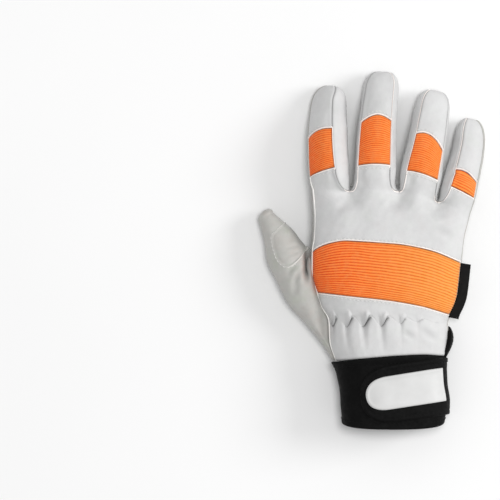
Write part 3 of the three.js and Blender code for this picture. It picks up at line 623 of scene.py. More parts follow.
# Every point learns how far it is from its sheet's rim, the seam, and from the trimmed part of it.
def findSeams(sheets):
    for s in sheets:
        s["edge"] = s["points"][s["ends"]]
        s["low"], s["high"] = s["edge"].min(0) - sewn["near"], s["edge"].max(0) + sewn["near"]
        s["meets"] = []
        s["byKnit"] = np.zeros(len(s["ends"]), bool)
    for s in sheets:
        for other in sheets:
            if other is s or (s["low"] > other["high"]).any() or (other["low"] > s["high"]).any():
                continue
            index, reach = nearest(s["edge"], other["edge"])
            found = reach < sewn["near"]
            if found.any():
                s["meets"].append((other, np.flatnonzero(found), index[found]))
                piped = (s["name"], other["name"]) in sewn["pipedSides"]
                s["byKnit"][found] |= piped or other["kind"] == "knit"
        if s["name"] == "back_panel":
            crotches = handBack(np.full(3, float(crotchLine)), np.array(hand["crotchShares"][1:4]))
            s["byKnit"] |= nearest(s["edge"], crotches)[1] < sewn["trimmedCrotch"]
        starts, stops = s["points"][s["before"][s["ends"]]], s["points"][s["after"][s["ends"]]]
        s["seam"], s["foot"], s["nearEnd"] = distanceTo(s["points"], s["edge"], starts, stops)
        trimmed = s["byKnit"]
        s["trim"] = np.full(len(s["points"]), sewn["untrimmed"])
        if trimmed.any() and s["kind"] != "knit":
            s["trim"] = distanceTo(s["points"], s["edge"][trimmed], starts[trimmed], stops[trimmed])[0]
        if "fourchette" in s["name"] or s["name"] == "palm_panel":
            s["trim"] += sewn["thinner"]
        if s["name"] == "back_panel":  # a crotch's trim thins out up the finger on its left
            out = ease(nearest(s["points"], crotches)[1], *sewn["taper"])
            onBase = (s["u"] > crotchLine) & (s["u"] < ribLow - sewn["ribClear"])
            s["trim"] += sewn["crotchThinner"] * out * (onBase & (s["w"] > sewn["rightOf"]))


# At a seam the sheets' normals are added up, so that their walls mitre. Away from it each sheet's own
# normal takes over.
def turnNormals(sheets):
    for s in sheets:
        s["own"] = softNormals(s["points"], s["triangles"], sewn["smoothings"])
    for s in sheets:
        mitre = s["own"][s["ends"]].copy()
        for other, mine, theirs in s["meets"]:
            mitre[mine] += other["own"][other["ends"]][theirs]
        mitre = unit(mitre)
        t = ease(s["seam"], 0, sewn["mitreReach"])[:, None]
        s["normal"] = unit(mix(mitre[s["nearEnd"]], s["own"], t))
        s["normal"][s["ends"]] = mitre


# Soft unevenness, mostly from -1 to 1: plane waves of about one length in random directions, added up
def waves(points, length, seed, count=14):
    r = np.random.default_rng(seed)
    directions = unit(r.normal(size=(count, 3))) / (length * r.uniform(0.7, 1.5, (count, 1)))
    phases = r.uniform(0, 2 * pi, count)
    return np.sin(2 * pi * points @ directions.T + phases).sum(1) / np.sqrt(count / 2) / 1.4


# Folds seen from above. A fold is a groove with a soft ridge on each side, dying out at both ends, and
# bowed sideways in the middle. It shows only on the side that faces up.
# Columns: x and y at its start, x and y at its end, width, depth, bow
folds = (
    # the thumb's web: the deep crease beside the knuckle band, and the wrinkles that leave it
    (-45.4, 7.0, -47.6, -26.0, 2.7, 5.6, 1.2),
    (-48.0, -11.0, -57.5, -30.0, 2.0, 0.95, -1.0),
    (-50.5, -8.5, -61.0, -20.0, 2.0, 0.7, -1.2),
    (-52.0, -19.0, -57.0, -36.0, 2.4, 0.6, 1.0),
    # inside the thumb's overlay
    (-63.0, -0.5, -48.5, 3.5, 1.5, 0.6, 1.2),
    (-64.0, -6.5, -51.0, -1.0, 1.5, 0.55, 1.0),
    (-60.5, -9.0, -50.0, -3.5, 1.4, 0.45, -0.8),
    # soft dents beside the last gathers
    (21.5, -57.5, 33.0, -65.0, 2.2, 0.7, 0.8),
    (34.0, -53.5, 51.0, -65.5, 2.6, 0.6, -1.2),
    # across the little finger's root and the knuckles beside it
    (57.0, 54.0, 64.5, 57.5, 1.6, 0.8, 0.6),
    (43.0, 18.0, 63.0, 7.5, 3.4, 0.5, 1.5),
    (8.0, 33.0, 26.0, 30.0, 4.0, 0.35, 1.5),
    (-30.0, 26.0, -14.0, 34.0, 4.5, 0.4, -1.5),
)


foldForm = {
    "taper": 2.2, "ridge": 0.45, "ridgeAt": 1.9, "tallest": 1.0, "upward": (0.1, 0.5),
    # the folds' depth also paints shade into the leather colour, darkest at this depth
    "darkest": 4,  # mm of depth at which a fold is as dark as folds get
}


def foldHeight(points, upward):
    g = foldForm
    height = np.zeros(len(points))
    for x1, y1, x2, y2, width, depth, bow in folds:
        along = np.array([x2 - x1, y2 - y1])
        length = np.hypot(*along)
        along = along / length
        rel = points[:, :2] - (x1, y1)
        t = rel @ along / length
        d = rel @ [-along[1], along[0]] - bow * hill(t)
        taper = smooth(np.clip(g["taper"] * t, 0, 1)) * smooth(np.clip(g["taper"] * (1 - t), 0, 1))
        ridges = bump(d - g["ridgeAt"] * width, width) + bump(d + g["ridgeAt"] * width, width)
        height += taper * (min(depth, g["tallest"]) * g["ridge"] * ridges - depth * bump(d, width))
    return height * share(upward, *g["upward"])


# The gathers on the elastic line: pleats that lie over one another like shingles. The line zigzags,
# from a notch up to a peak and down again to the next notch. From notch to peak the leather above
# stands over the leather below, and from each notch a groove runs down and dies out.
gatherTable = (
    ("notch", "peak", "step", "zigzag"),
    (
        (0.022, 0.075, 4.2, 2.8),
        (0.137, 0.210, 4.8, 3.4),
        (0.277, 0.360, 5.0, 3.8),
        (0.430, 0.511, 4.4, 3.8),
        (0.596, 0.655, 2.2, 2.4),
        (0.740, 0.800, 0.8, 1.4),
        (0.890, 0.940, 0.3, 0.8),
    ),
)
gathers = {
    "above": 18, "below": 27,  # mm per row
    "fullStep": 5.0, "endShare": 0.02, "lastShare": 0.95,
    "reach": 0.42, "lip": 0.25, "sharpness": 0.7, "fadeUp": 4.6, "fadeDown": 3.4,  # the lips
    "puff": (0.35, 3, 3), "undercut": (-0.6, -0.7, 1.1), "line": (-0.22, 0, 0.7),  # bells across the line
    "overhang": (0.45, 0.8, 0.9), "overX": 0.6, "overY": -0.8,
    "groove": 2.3, "grooveShift": 0.09, "grooveWidth": 0.16, "grooveUp": 2.5, "grooveReach": 15,
    "shade": (0.4, -0.8, 1.5), "grooveShade": 0.16,
}


def gatherPhase(f):  # whole numbers at the notches and halves at the peaks
    knots = [share for row in gatherTable[1] for share in row[:2]]
    counts = [k / 2 for k in range(-1, len(knots) + 1)]
    return np.interp(f, [-0.06] + knots + [1.02], counts)


def gathered(f, key):  # a column of the table, taken smoothly along the line and dying out at its ends
    k = gatherTable[0].index(key)
    knots = [(row[0] + row[1]) / 2 for row in gatherTable[1]]
    ends = share(f, 0, gathers["endShare"]) * share(f, 1, gathers["lastShare"])
    return np.interp(f, knots, [row[k] for row in gatherTable[1]]) * ends


# q is the distance from the line in millimetres. A lip rises as a power of the sine from notch to
# peak. A groove is a bell across, just past the notch, and a bell down from the line.
def gatherForms(u, f):
    g = gathers
    phase = gatherPhase(f)
    along = phase - np.floor(phase)
    q = (u - gatherLine) * np.where(u > gatherLine, g["above"], g["below"])
    rise = np.where(along < 0.5, np.sin(2 * pi * along), 0) ** g["sharpness"] * gathered(f, "step") / 2
    across = (along - g["grooveShift"] + 0.5) % 1 - 0.5
    groove = np.where(q < 0, bump(q, g["grooveReach"]), bump(q, g["grooveUp"]))
    groove = groove * bump(across, g["grooveWidth"])
    return phase, q, rise, groove * gathered(f, "step") / g["fullStep"]


# The zigzag moves the row by a cosine. The height is a step at the line, by a hyperbolic tangent, that
# dies out above and below, with a puff above it and an undercut below it, and the grooves and the sewn
# line of the elastic are cut in. The lips also lean over, down and to the right.
def wristPoint(u, f):
    g = gathers
    phase, q, rise, groove = gatherForms(u, f)
    zigzag = -gathered(f, "zigzag") * np.cos(2 * pi * phase) * bump(u - gatherLine, g["reach"])
    moved = u + zigzag / np.where(u > gatherLine, g["above"], g["below"])
    p = handBack(np.clip(moved, cuffLine, bandLow), f)
    step = np.tanh(q / g["lip"]) * np.where(q > 0, bump(q, g["fadeUp"]), bump(q, g["fadeDown"]))
    line = bell(q, *g["line"]) * share(f, 0, g["endShare"]) * share(f, 1, 1 - g["endShare"])
    p[..., 2] += rise * (step + bell(q, *g["puff"]) + bell(q, *g["undercut"])) + line - g["groove"] * groove
    over = rise * bell(q, *g["overhang"])
    p[..., 0] += g["overX"] * over
    p[..., 1] += g["overY"] * over
    return p


# Painted shade under each lip and thinly in the grooves, from 0 to about 1
def gatherShade(u, f):
    g = gathers
    _, q, rise, groove = gatherForms(u, f)
    return rise * bell(q, *g["shade"]) + g["grooveShade"] * groove


# Ribbed knit: how many ribs the band has and how many millimetres a finger's rib takes, the ribs'
# height and shape, how the ribbing puffs up away from its seams, and how the ribs wander
ribbing = {
    "bandRibs": 22, "pitch": 1.45, "height": 0.5, "sharpness": 0.75, "middle": 0.62,
    "from": (0.2, 1.0), "puff": 0.35, "puffReach": 7, "sunk": (-0.15, 0, 1.5),
    "wander": 0.1, "wanderLength": 16, "seed": 31,
    "bandAcross": 118, "fingerAcross": 26, "fingerShift": 30,  # mm, for the stitches across the ribs
}
walls = {"leather": 1.6, "knit": 1.4}  # thickness

# Samples along and across the glove, each about as long as the leather there is in millimetres
print("working out the surfaces")
acrossFinger = steps(27)
acrossPalm = steps(25, 0.3, 1.05)
acrossSide = steps(19)
outerSide = steps(17, high=False)
closeLow, closeHigh = 0.93, 1.07  # the rows at the gathers, sampled most closely
wristRows = np.unique(np.concatenate([
    closeLow * steps(rowLength["wrist"], 0.3, 0.8, high=False),
    mix(closeLow, closeHigh, steps(4, 0.2, 0.2)),
    mix(closeHigh, bandLow, steps(rowLength["gathers"], 0.25, 0.7, low=False)),
]))
bandRows = bandLow + steps(rowLength["band"], 0.25, 0.27)
knuckleRows = bandHigh + steps(rowLength["knuckles"], high=False)
palmBandRows = bandLow + steps(rowLength["palmBand"], 1, 1)
palmWristRows = np.unique(np.concatenate([
    steps(rowLength["wrist"], 0.3, 1, high=False), gatherLine + steps(rowLength["gathers"], 1, 1),
]))


# Rows turn out of a crotch and round a fingertip, so a quarter circle spaces them there: by 1 - cos
# over the crotch's reach, and by the sine to the power that the tip's outline has.
def fingerRows(name):
    low, high, end, tip = (row[2] for row in fingerTable[name][:4])
    turn = pi / 2 * steps(17, 0.7, 0.8)
    base = crotchLine + (1 - np.cos(turn)) * min(1, finger["crotchReach"] / (high - low))
    last = base[base < ribLow - 0.1][-1]
    base = np.concatenate([base[base < last], mix(last, ribLow, steps(8, 0.25, 0.8, low=False))])
    straight = mix(ribHigh, finger["tipStart"], steps(tip - end, high=False))
    turn = np.sin(pi / 2 * steps(19, 0.3, 0.85, low=False)) ** (2 / finger["tipSideRoundness"])
    bent = finger["tipStart"] + (tipLine - finger["tipStart"]) * turn
    return {
        "base": base, "plain": ribLow + steps(end - high, 0.8, 0.9),
        "ribbed": ribLow + steps(end - high, 0.22, 0.25), "tip": np.unique(np.concatenate([straight, bent])),
    }


rows = {name: fingerRows(name) for name in fingerNames}
sheets = []


def sew(name, kind, *patches, relax=None):  # one more sheet of the glove, named as its node is
    sheets.append(newSheet(name, kind, walls[kind], patches, relax))


onBack = lambda name: lambda u, w: fingerBack(name, u, w)
onPalm = lambda name: lambda u, w: fingerPalm(name, u, w)
onSide = lambda name, side: lambda u, t: fingerSide(name, u, side, t)
fingerParts = lambda n: [rows[n][part] for part in ("base", "plain", "tip")]
handShares = np.concatenate([mix(*shares(n), crowded(n, acrossFinger)) for n in fingerNames])
handShares = np.unique(handShares.round(9))

sew("back_panel", "leather", *(
    patch(r, acrossFinger, onBack(n)) for n in fingerNames for r in (knuckleRows, rows[n]["base"])
), relax=easedCrotch)
sew("knuckle_band", "knit", patch(bandRows, handShares, handBack))
# A knit sheet also knows its first row, its ribs, and where its stitches start and how far they go
sheets[-1]["ribs"] = (bandLow, ribbing["bandRibs"], 0, ribbing["bandAcross"])
sew("wrist_panel", "leather", patch(wristRows, handShares, wristPoint))
for k, n in enumerate(fingerNames):
    sew(f"{n}_patch", "knit", patch(rows[n]["ribbed"], acrossFinger, onBack(n)))
    ribs = round((fingerTable[n][2][2] - fingerTable[n][1][2]) / ribbing["pitch"])
    sheets[-1]["ribs"] = (ribLow, ribs, k * ribbing["fingerShift"], ribbing["fingerAcross"])
    sew(f"{n}_tip", "leather", patch(rows[n]["tip"], acrossFinger, onBack(n)))
for n, other in zip(fingerNames, fingerNames[1:]):
    sew(f"{n}_{other}_fourchette", "leather", *(
        patch(r, acrossSide, onSide(a, side), turned=side < 0)
        for a, side in ((n, 1), (other, -1)) for r in fingerParts(a)
    ), relax=easedCrotch)
palmRows = np.unique(np.concatenate([palmWristRows, palmBandRows]).round(9))
palmParts = [
    patch(r, acrossPalm, onPalm(n), turned=True)
    for n in fingerNames for r in (palmRows, knuckleRows, *fingerParts(n))
]
palmParts += [
    patch(r, outerSide, onSide(n, side), turned=side < 0)
    for n, side, below in (("little", 1, (palmRows, knuckleRows)), ("index", -1, (knuckleRows,)))
    for r in (*below, *fingerParts(n))
]
sew("palm_panel", "leather", *palmParts, relax=easedCrotch)
ring, degrees = thumbOpening(palmRows, outerSide, steps(22, 0.8, 0.9))
alongThumb = np.concatenate([
    thumb["lastRing"] * steps(84, 0.3, 0.95, high=False), thumb["lastRing"] + steps(13, 0.8, 0.8)[1:],
])


def thumbSurface(s, k):  # k counts the points of the opening, which is where s is 0
    k = k.astype(int)
    return np.where((s == 0)[..., None], ring[k], thumbPoint(s, degrees[k], ring[k]))


thumbPart = patch(alongThumb, np.arange(len(ring)), thumbSurface, wrap=True)
sew("thumb_shell", "leather", thumbPart, relax=easedThumb)

# What a seam does to each sheet: its edge rolls down into the seam, with a soft bead beside it and
# small puckers along it. Beside the ribbing the leather's cut edge stands up as a narrow rim, with a
# groove behind it. Beads, rims and grooves are bells across the seam: height, place and width.
seamForm = {
    "roll": (1.2, 0.85), "bead": (0.2, 1.7, 0.9), "palmBead": (0.95, 3.2, 2.4), "palmBeadFrom": (0, 1),
    "pucker": 0.14, "puckerLength": 4.2, "puckerReach": 2.4, "puckerFrom": (0.2, 1.2), "seed": 11,
    "rim": (0.42, 0.5, 0.34), "rimFrom": (0, 0.3), "groove": (-0.28, 1.45, 0.4),
}


def rolled(d, radius, depth):  # a quarter round that drops by depth at the edge
    return -depth * (1 - np.sqrt(np.clip(1 - (1 - np.minimum(d, radius) / radius) ** 2, 0, 1)))


def leatherRelief(s):
    e = seamForm
    d, trim = s["seam"], s["trim"]
    pucker = e["pucker"] * waves(s["foot"], e["puckerLength"], e["seed"]) * np.exp(-d / e["puckerReach"])
    relief = rolled(d, *e["roll"]) + bell(d, *e["bead"]) + pucker * share(d, *e["puckerFrom"])
    if s["name"] == "palm_panel":
        relief += bell(d, *e["palmBead"]) * share(d, *e["palmBeadFrom"])
    return relief + bell(trim, *e["rim"]) * share(d, *e["rimFrom"]) + bell(trim, *e["groove"])


# Ribs run across: the phase counts them, and each is a round crest between narrow grooves, a power of
# the sine
def ribPhase(s):
    r = ribbing
    first, count, _, _ = s["ribs"]
    return (s["u"] - first) * count + r["wander"] * waves(s["points"], r["wanderLength"], r["seed"])


def knitRelief(s):
    r = ribbing
    d = s["seam"]
    rib = np.abs(np.sin(pi * ribPhase(s))) ** r["sharpness"] - r["middle"]
    relief = rolled(d, *seamForm["roll"]) + r["puff"] * ease(d, 0, r["puffReach"])
    return relief + r["height"] * rib * share(d, *r["from"]) + bell(d, *r["sunk"])


# How uneven the sheets are in themselves. Leather is free of its seams past 5 mm, and ribbing is calmer.
skin = {
    "broad": 0.32, "broadLength": 22, "broadSeed": 3, "fine": 0.1, "fineLength": 8, "fineSeed": 4,
    "free": 5, "knit": 0.4,
}

print("sewing", len(sheets), "sheets together")
findSeams(sheets)
turnNormals(sheets)
for s in sheets:
    free = ease(s["seam"], 0, skin["free"]) if s["kind"] == "leather" else skin["knit"]
    soft = skin["broad"] * waves(s["points"], skin["broadLength"], skin["broadSeed"])
    soft += skin["fine"] * waves(s["points"], skin["fineLength"], skin["fineSeed"])
    s["fold"] = foldHeight(s["points"], s["normal"][:, 2])
    height = soft * free + s["fold"]
    # On the wrist the gathers' painted shade, under the lips and in the grooves, is added to the folds'
    # painted shade
    if s["name"] == "wrist_panel":
        s["fold"] = s["fold"] - foldForm["darkest"] * gatherShade(s["u"], s["w"])
    s["points"] = onFloor(s["points"] + s["normal"] * height[:, None])
for s in sheets:
    s["edge"] = s["points"][s["ends"]]
turnNormals(sheets)


# A closed wall: the sheet with its relief, the same sheet a wall's thickness in and smoothed, and the
# rim between them. Where it lies on the floor, the inside is lifted by the thickness.
def wallOf(s, relief):
    points, normal, count = s["points"], s["normal"], len(s["points"])
    outer = onFloor(points + normal * relief[:, None])
    inner = relaxed(points - normal * s["wall"], s["triangles"], s["inside"], 6)
    near = points[:, 2] < s["wall"]
    inner[near, 2] = np.maximum(inner[near, 2], np.minimum(s["wall"], points[near, 2] + s["wall"]))
    a, b = s["rim"].T
    rim = np.concatenate([np.stack([b, a, a + count], -1), np.stack([b, a + count, b + count], -1)])
    triangles = np.concatenate([s["triangles"], s["triangles"][:, ::-1] + count, rim])
    return np.concatenate([outer, inner]), triangles


# A mesh in metres, smooth but for creases of more than 55 degrees
def fillMesh(name, points, triangles, attributes=None):
    mesh = bpy.data.meshes.new(name)
    mesh.vertices.add(len(points))
    mesh.vertices.foreach_set("co", (points * toMetres).astype(np.float32).ravel())
    mesh.loops.add(triangles.size)
    mesh.loops.foreach_set("vertex_index", triangles.astype(np.int32).ravel())
    mesh.polygons.add(len(triangles))
    mesh.polygons.foreach_set("loop_start", np.arange(0, triangles.size, 3, dtype=np.int32))
    mesh.update(calc_edges=True)
    mesh.polygons.foreach_set("use_smooth", np.ones(len(triangles), bool))
    mesh.set_sharp_from_angle(angle=radians(55))
    for key, values in (attributes or {}).items():
        layer = mesh.attributes.new(key, "FLOAT", "POINT")
        layer.data.foreach_set("value", values.astype(np.float32))
    thing = bpy.data.objects.new(name, mesh)
    bpy.context.scene.collection.objects.link(thing)
    return thing


# A material's helpers: each adds a node or two and gives back the output to go on with
def newMaterial(name):
    material = bpy.data.materials.new(name)
    material.use_nodes = True
    tree = material.node_tree
    shader = tree.nodes["Principled BSDF"]

    def feed(socket, value):
        if isinstance(value, bpy.types.NodeSocket):
            tree.links.new(value, socket)
        else:
            socket.default_value = value

    def add(kind, values=None, **settings):
        node = tree.nodes.new(kind)
        for key, value in settings.items():
            setattr(node, key, value)
        for key, value in (values or {}).items():
            feed(node.inputs[key], value)
        return node

    def ramp(source, *stops):
        node = add("ShaderNodeValToRGB", {"Fac": source})
        while len(node.color_ramp.elements) < len(stops):
            node.color_ramp.elements.new(0.5)
        for element, (position, color) in zip(node.color_ramp.elements, stops):
            element.position = position
            element.color = (*([color] * 3 if isinstance(color, (int, float)) else color), 1)
        return node.outputs["Color"]

    def blend(fac, a, b, mode="MIX"):
        return add("ShaderNodeMix", {0: fac, 6: a, 7: b}, data_type="RGBA", blend_type=mode).outputs[2]

    def shaded(color, by):
        return blend(1.0, color, by, "MULTIPLY")

    def attribute(name):
        return add("ShaderNodeAttribute", attribute_name=name).outputs["Fac"]

    def math(operation, a, b=0.0):
        return add("ShaderNodeMath", {0: a, 1: b}, operation=operation).outputs[0]

    def centimetres(name):  # a distance that the mesh holds in millimetres
        return math("MULTIPLY", attribute(name), 0.1)

    coords = add("ShaderNodeTexCoord").outputs["Object"]

    def noise(scale, detail=2.0, roughness=0.5):
        values = {"Vector": coords, "Scale": scale, "Detail": detail, "Roughness": roughness}
        return add("ShaderNodeTexNoise", values).outputs["Fac"]

    def cells(scale, randomness, **settings):
        values = {"Vector": coords, "Scale": scale, "Randomness": randomness}
        return add("ShaderNodeTexVoronoi", values, **settings).outputs["Distance"]

    def bumps(*layers):  # height, distance and strength of each
        normal = None
        for height, distance, strength in layers:
            values = {"Height": height, "Distance": distance, "Strength": strength}
            if normal is not None:
                values["Normal"] = normal
            normal = add("ShaderNodeBump", values).outputs["Normal"]
        tree.links.new(normal, shader.inputs["Normal"])

    def finish(color, roughness, **fixed):
        feed(shader.inputs["Base Color"], color)
        feed(shader.inputs["Roughness"], roughness)
        for key, value in fixed.items():
            shader.inputs[key.replace("_", " ")].default_value = value
        return material

    return SimpleNamespace(
        ramp=ramp, blend=blend, shaded=shaded, attribute=attribute, math=math, centimetres=centimetres,
        noise=noise, cells=cells, bumps=bumps, finish=finish,
    )


# Leather: grey-white full grain, pebbled finely, with paler cut edges. Towards its seams it is painted
# darker, as painted shade of the seam's groove with some dirt, and in its folds as painted shade. Its colour
# runs from pale to shade, and tint is how much warmer and cooler spots show.
def leatherMaterial(name, pale, shade, seamShade=0.55, edge=(1.0, 0.93, 0.89), tint=0.3):
    m = newMaterial(name)
    tone = m.ramp(m.noise(28, 4, 0.55), (0.35, shade), (0.65, pale))
    mottled = m.blend(0.4, tone, m.ramp(m.noise(230, 4, 0.6), (0.3, shade), (0.7, pale)))
    hue = m.ramp(m.noise(95, 3, 0.6), (0.3, (0.97, 1.0, 0.95)), (0.5, 1.0), (0.7, (1.0, 0.965, 0.955)))
    mottled = m.blend(tint, mottled, m.shaded(mottled, hue))
    # Painted shade of the seam's groove, with some dirt: darker towards the seam
    seam = m.ramp(m.centimetres("seam"), (0.0, seamShade), (0.045, 0.84), (0.13, 0.96), (0.3, 1.0))
    color = m.shaded(mottled, seam)
    # Painted shade in the folds, darker the deeper they are
    paintedFoldShade = m.ramp(m.attribute("fold"), (0.0, 1.0), (0.25, 0.8), (1.0, 0.42))
    color = m.shaded(color, paintedFoldShade)
    unevenly = m.math("ADD", m.noise(650, 3), m.math("MULTIPLY", m.noise(120, 2), 1.4))
    wobble = m.math("MULTIPLY", m.math("SUBTRACT", unevenly, 1.15), 0.045)
    fromTrim = m.math("ADD", m.centimetres("trim"), wobble)
    trim = m.ramp(fromTrim, (0.012, 0.0), (0.025, 1.0), (0.085, 1.0), (0.115, 0.0))
    color = m.blend(trim, color, (*edge, 1))
    pebbles = m.ramp(m.cells(1250.0, 0.9, feature="DISTANCE_TO_EDGE"), (0.0, 0.0), (0.28, 1.0))
    wrinkles = m.noise(420, 5, 0.6)
    m.bumps((wrinkles, 0.0007, 0.22), (pebbles, 0.00010, 0.35))
    roughness = m.ramp(m.noise(600, 2), (0.3, 0.5), (0.7, 0.64))
    return m.finish(color, roughness, Specular_IOR_Level=0.35, Sheen_Weight=0.1, Sheen_Roughness=0.5)


leathers = {
    "back_leather": {"pale": (0.66, 0.66, 0.66), "shade": (0.585, 0.585, 0.585)},
    # The palm and thumb leather is greyer and warmer than the back's, and a little darker still as painted
    # shade of the thumb, which faces away from the light
    "palm_leather": {
        "pale": (0.53, 0.525, 0.50), "shade": (0.44, 0.435, 0.41), "edge": (0.70, 0.69, 0.66), "tint": 1.0,
    },
    "piping_leather": {"pale": (0.95, 0.93, 0.90), "shade": (0.86, 0.84, 0.81), "seamShade": 1.0},
}
backLeather, palmLeather, pipingLeather = (leatherMaterial(name, **look) for name, look in leathers.items())

# Ribbed knit: crests painted brighter and grooves painted darker and redder, a painted highlight and painted
# shade of the ribs, and rows of small stitches slanting along each rib. Next to its seams it is painted
# darker, as painted shade where it rolls into the seam. It is painted redder towards the thumb side and the
# left of each piece and yellower towards the little-finger side and the right, as painted light from the
# right. Both ramps run from groove to crest.
knitLook = {
    "red": ((0.0, (0.5, 0.015, 0.002)), (0.4, (0.98, 0.105, 0.015)), (1.0, (1.0, 0.235, 0.045))),
    "yellow": ((0.0, (0.62, 0.14, 0.014)), (0.38, (0.83, 0.27, 0.046)), (1.0, (0.91, 0.365, 0.078))),
    "worn": (0.9, 0.36, 0.12, 1), "slant": 0.35, "stitch": 0.9,
}


def knitMaterial():
    m = newMaterial("ribbed_orange_knit")
    wave = m.math("ABSOLUTE", m.math("SINE", m.math("MULTIPLY", m.attribute("rib"), pi)))
    # The ribs' crests are a painted highlight and their grooves painted shade
    red, yellow = m.ramp(wave, *knitLook["red"]), m.ramp(wave, *knitLook["yellow"])
    # Painted light from the right: redder on the shaded thumb side, yellower on the lit side
    color = m.blend(m.attribute("warm"), red, yellow)
    # Painted shade where the knit rolls into its seam
    seam = m.ramp(m.centimetres("seam"), (0.0, 0.45), (0.05, 0.6), (0.12, 1.0))
    color = m.shaded(color, seam)
    worn = m.ramp(m.noise(300, 4, 0.6), (0.42, 0.0), (0.72, 0.3))
    color = m.blend(worn, color, knitLook["worn"])
    slant = m.math("MULTIPLY", wave, knitLook["slant"])
    slanting = m.math("ADD", m.attribute("across"), slant)
    stitch = m.math("SINE", m.math("MULTIPLY", slanting, 2 * pi / knitLook["stitch"]))
    m.bumps((stitch, 0.00012, 0.4), (m.noise(2600, 2), 0.00012, 0.5), (m.noise(700, 3), 0.0002, 0.3))
    return m.finish(color, 0.82, Specular_IOR_Level=0.15, Sheen_Weight=0.12, Sheen_Roughness=0.4)


# Black neoprene: a fine jersey face of cells, a little paler in places
def neopreneMaterial(name, deep, pale, scale=1500.0):
    m = newMaterial(name)
    color = m.ramp(m.noise(90, 5, 0.65), (0.3, deep), (0.75, pale))
    m.bumps((m.noise(260, 4), 0.0006, 0.2), (m.cells(scale, 0.35), 0.00015, 0.55))
    roughness = m.ramp(m.noise(400, 2), (0.3, 0.62), (0.7, 0.8))
    return m.finish(color, roughness, Specular_IOR_Level=0.1, Sheen_Weight=0.012, Sheen_Roughness=0.35)


def rubberMaterial():  # pale grey, smooth and a little shiny
    m = newMaterial("badge_rubber")
    color = m.ramp(m.noise(60, 4), (0.35, (0.60, 0.60, 0.595)), (0.7, (0.655, 0.655, 0.65)))
    m.bumps((m.noise(900, 3), 0.00012, 0.25))
    roughness = m.ramp(m.noise(200, 3), (0.3, 0.42), (0.7, 0.54))
    return m.finish(color, roughness, Specular_IOR_Level=0.35)


def threadMaterial(name, color, specular=0.35):  # mottled a fifth darker
    m = newMaterial(name)
    tone = m.blend(m.noise(500, 2), (*color, 1), (*[c * 0.8 for c in color], 1))
    m.bumps((m.noise(5000, 1), 0.0001, 0.4))
    return m.finish(tone, 0.6, Specular_IOR_Level=specular)


knit = knitMaterial()
neoprene = neopreneMaterial("black_neoprene", 0.0018, 0.0038)
strapFace = neopreneMaterial("black_strap", 0.0026, 0.005, 2200.0)
rubber = rubberMaterial()
wovenBlack = neopreneMaterial("black_woven_tag", 0.005, 0.009, 3000.0)
paleThread = threadMaterial("pale_thread", (0.78, 0.77, 0.75))
blackThread = threadMaterial("black_thread", (0.005, 0.005, 0.005), 0.1)


def place(piece, material, node, slotName):  # nothing moves, so every piece rides on the one body
    piece.data.materials.append(material)
    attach(piece, "root")
    if node:
        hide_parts(node)
    return piece


# What a mesh tells its material: the distance to its seam and to its trim, its folds from 0 to 1, which the
# leather turns into painted shade, and in the ribbing the ribs' phase, the place across and how yellow its
# painted light from the right makes it. Distances stop at farthest.
farthest = 9.9
newNames = {
    "back_panel": "back_leather", "knuckle_band": "knuckle_ribbing", "wrist_panel": "gathered_wrist_leather",
    "palm_panel": "palm_leather", "thumb_shell": "thumb_leather",
}
# Painted light from the right: how much yellower the knit is painted across the glove and across each piece
warm = {"reach": (-45, 62), "overGlove": 0.55, "overPiece": 0.45, "band": 1.0, "finger": 0.62}


# Painted light from the right on the knit
def paintedLightOf(s):  # 0 is red and 1 is yellow
    strength = warm["band"] if s["name"] == "knuckle_band" else warm["finger"]
    overGlove = warm["overGlove"] * share(s["points"][:, 0], *warm["reach"])
    return strength * (overGlove + warm["overPiece"] * smooth(s["w"]))


for s in sheets:
    relief = knitRelief(s) if s["kind"] == "knit" else leatherRelief(s)
    points, triangles = wallOf(s, relief)
    told = {"seam": np.minimum(s["seam"], farthest), "trim": np.minimum(s["trim"], farthest)}
    # The folds become painted shade in the leather
    told["fold"] = np.clip(-s["fold"] / foldForm["darkest"], 0, 1)
    if s["kind"] == "knit":
        _, _, start, width = s["ribs"]
        told |= {"rib": ribPhase(s), "across": start + s["w"] * width, "warm": paintedLightOf(s)}
    told = {key: np.tile(values, 2) for key, values in told.items()}
    name = newNames.get(s["name"], s["name"])
    for old, new in (("patch", "ribbing"), ("_tip", "_fingertip"), ("fourchette", "sidewall")):
        name = name.replace(old, new)
    piece = fillMesh(name, points, triangles, told)
    under = s["name"] in ("thumb_shell", "palm_panel")
    material = knit if s["kind"] == "knit" else palmLeather if under else backLeather
    place(piece, material, s["name"], "ribbed_knit" if s["kind"] == "knit" else "leather")
    s["outer"] = points[:len(s["points"])]
    print(name, len(triangles), "triangles")

byName = {s["name"]: s for s in sheets}


# A loose piece is a sheet of its own, which may be lifted. The cuff's is turned level, as its hems
# stand upright.
def loose(name, g, part, lift=0.0, level=False):
    s = newSheet(name, "loose", g["wall"], [part])
    findSeams([s])
    turnNormals([s])
    if level:
        s["normal"][:, 1] = 0
        s["normal"] = unit(s["normal"])
    s["points"] = s["points"] + s["normal"] * lift
    return s


# Its relief follows the distance to its edge: a roll (radius, depth), bells for beads and sewn lines
# (height, place, width), a crown (height, from, to) and dents (height, length, seed, from).
def looseRelief(s, g):
    d = s["seam"]
    relief = rolled(d, *g["roll"])
    for line in g.get("lines", ()):
        relief += bell(d, *line)
    if "crown" in g:
        height, low, high = g["crown"]
        relief += height * ease(d, low, high)
    if "dents" in g:
        height, length, seed, free = g["dents"]
        relief += height * waves(s["points"], length, seed) * ease(d, 0, free)
    return relief


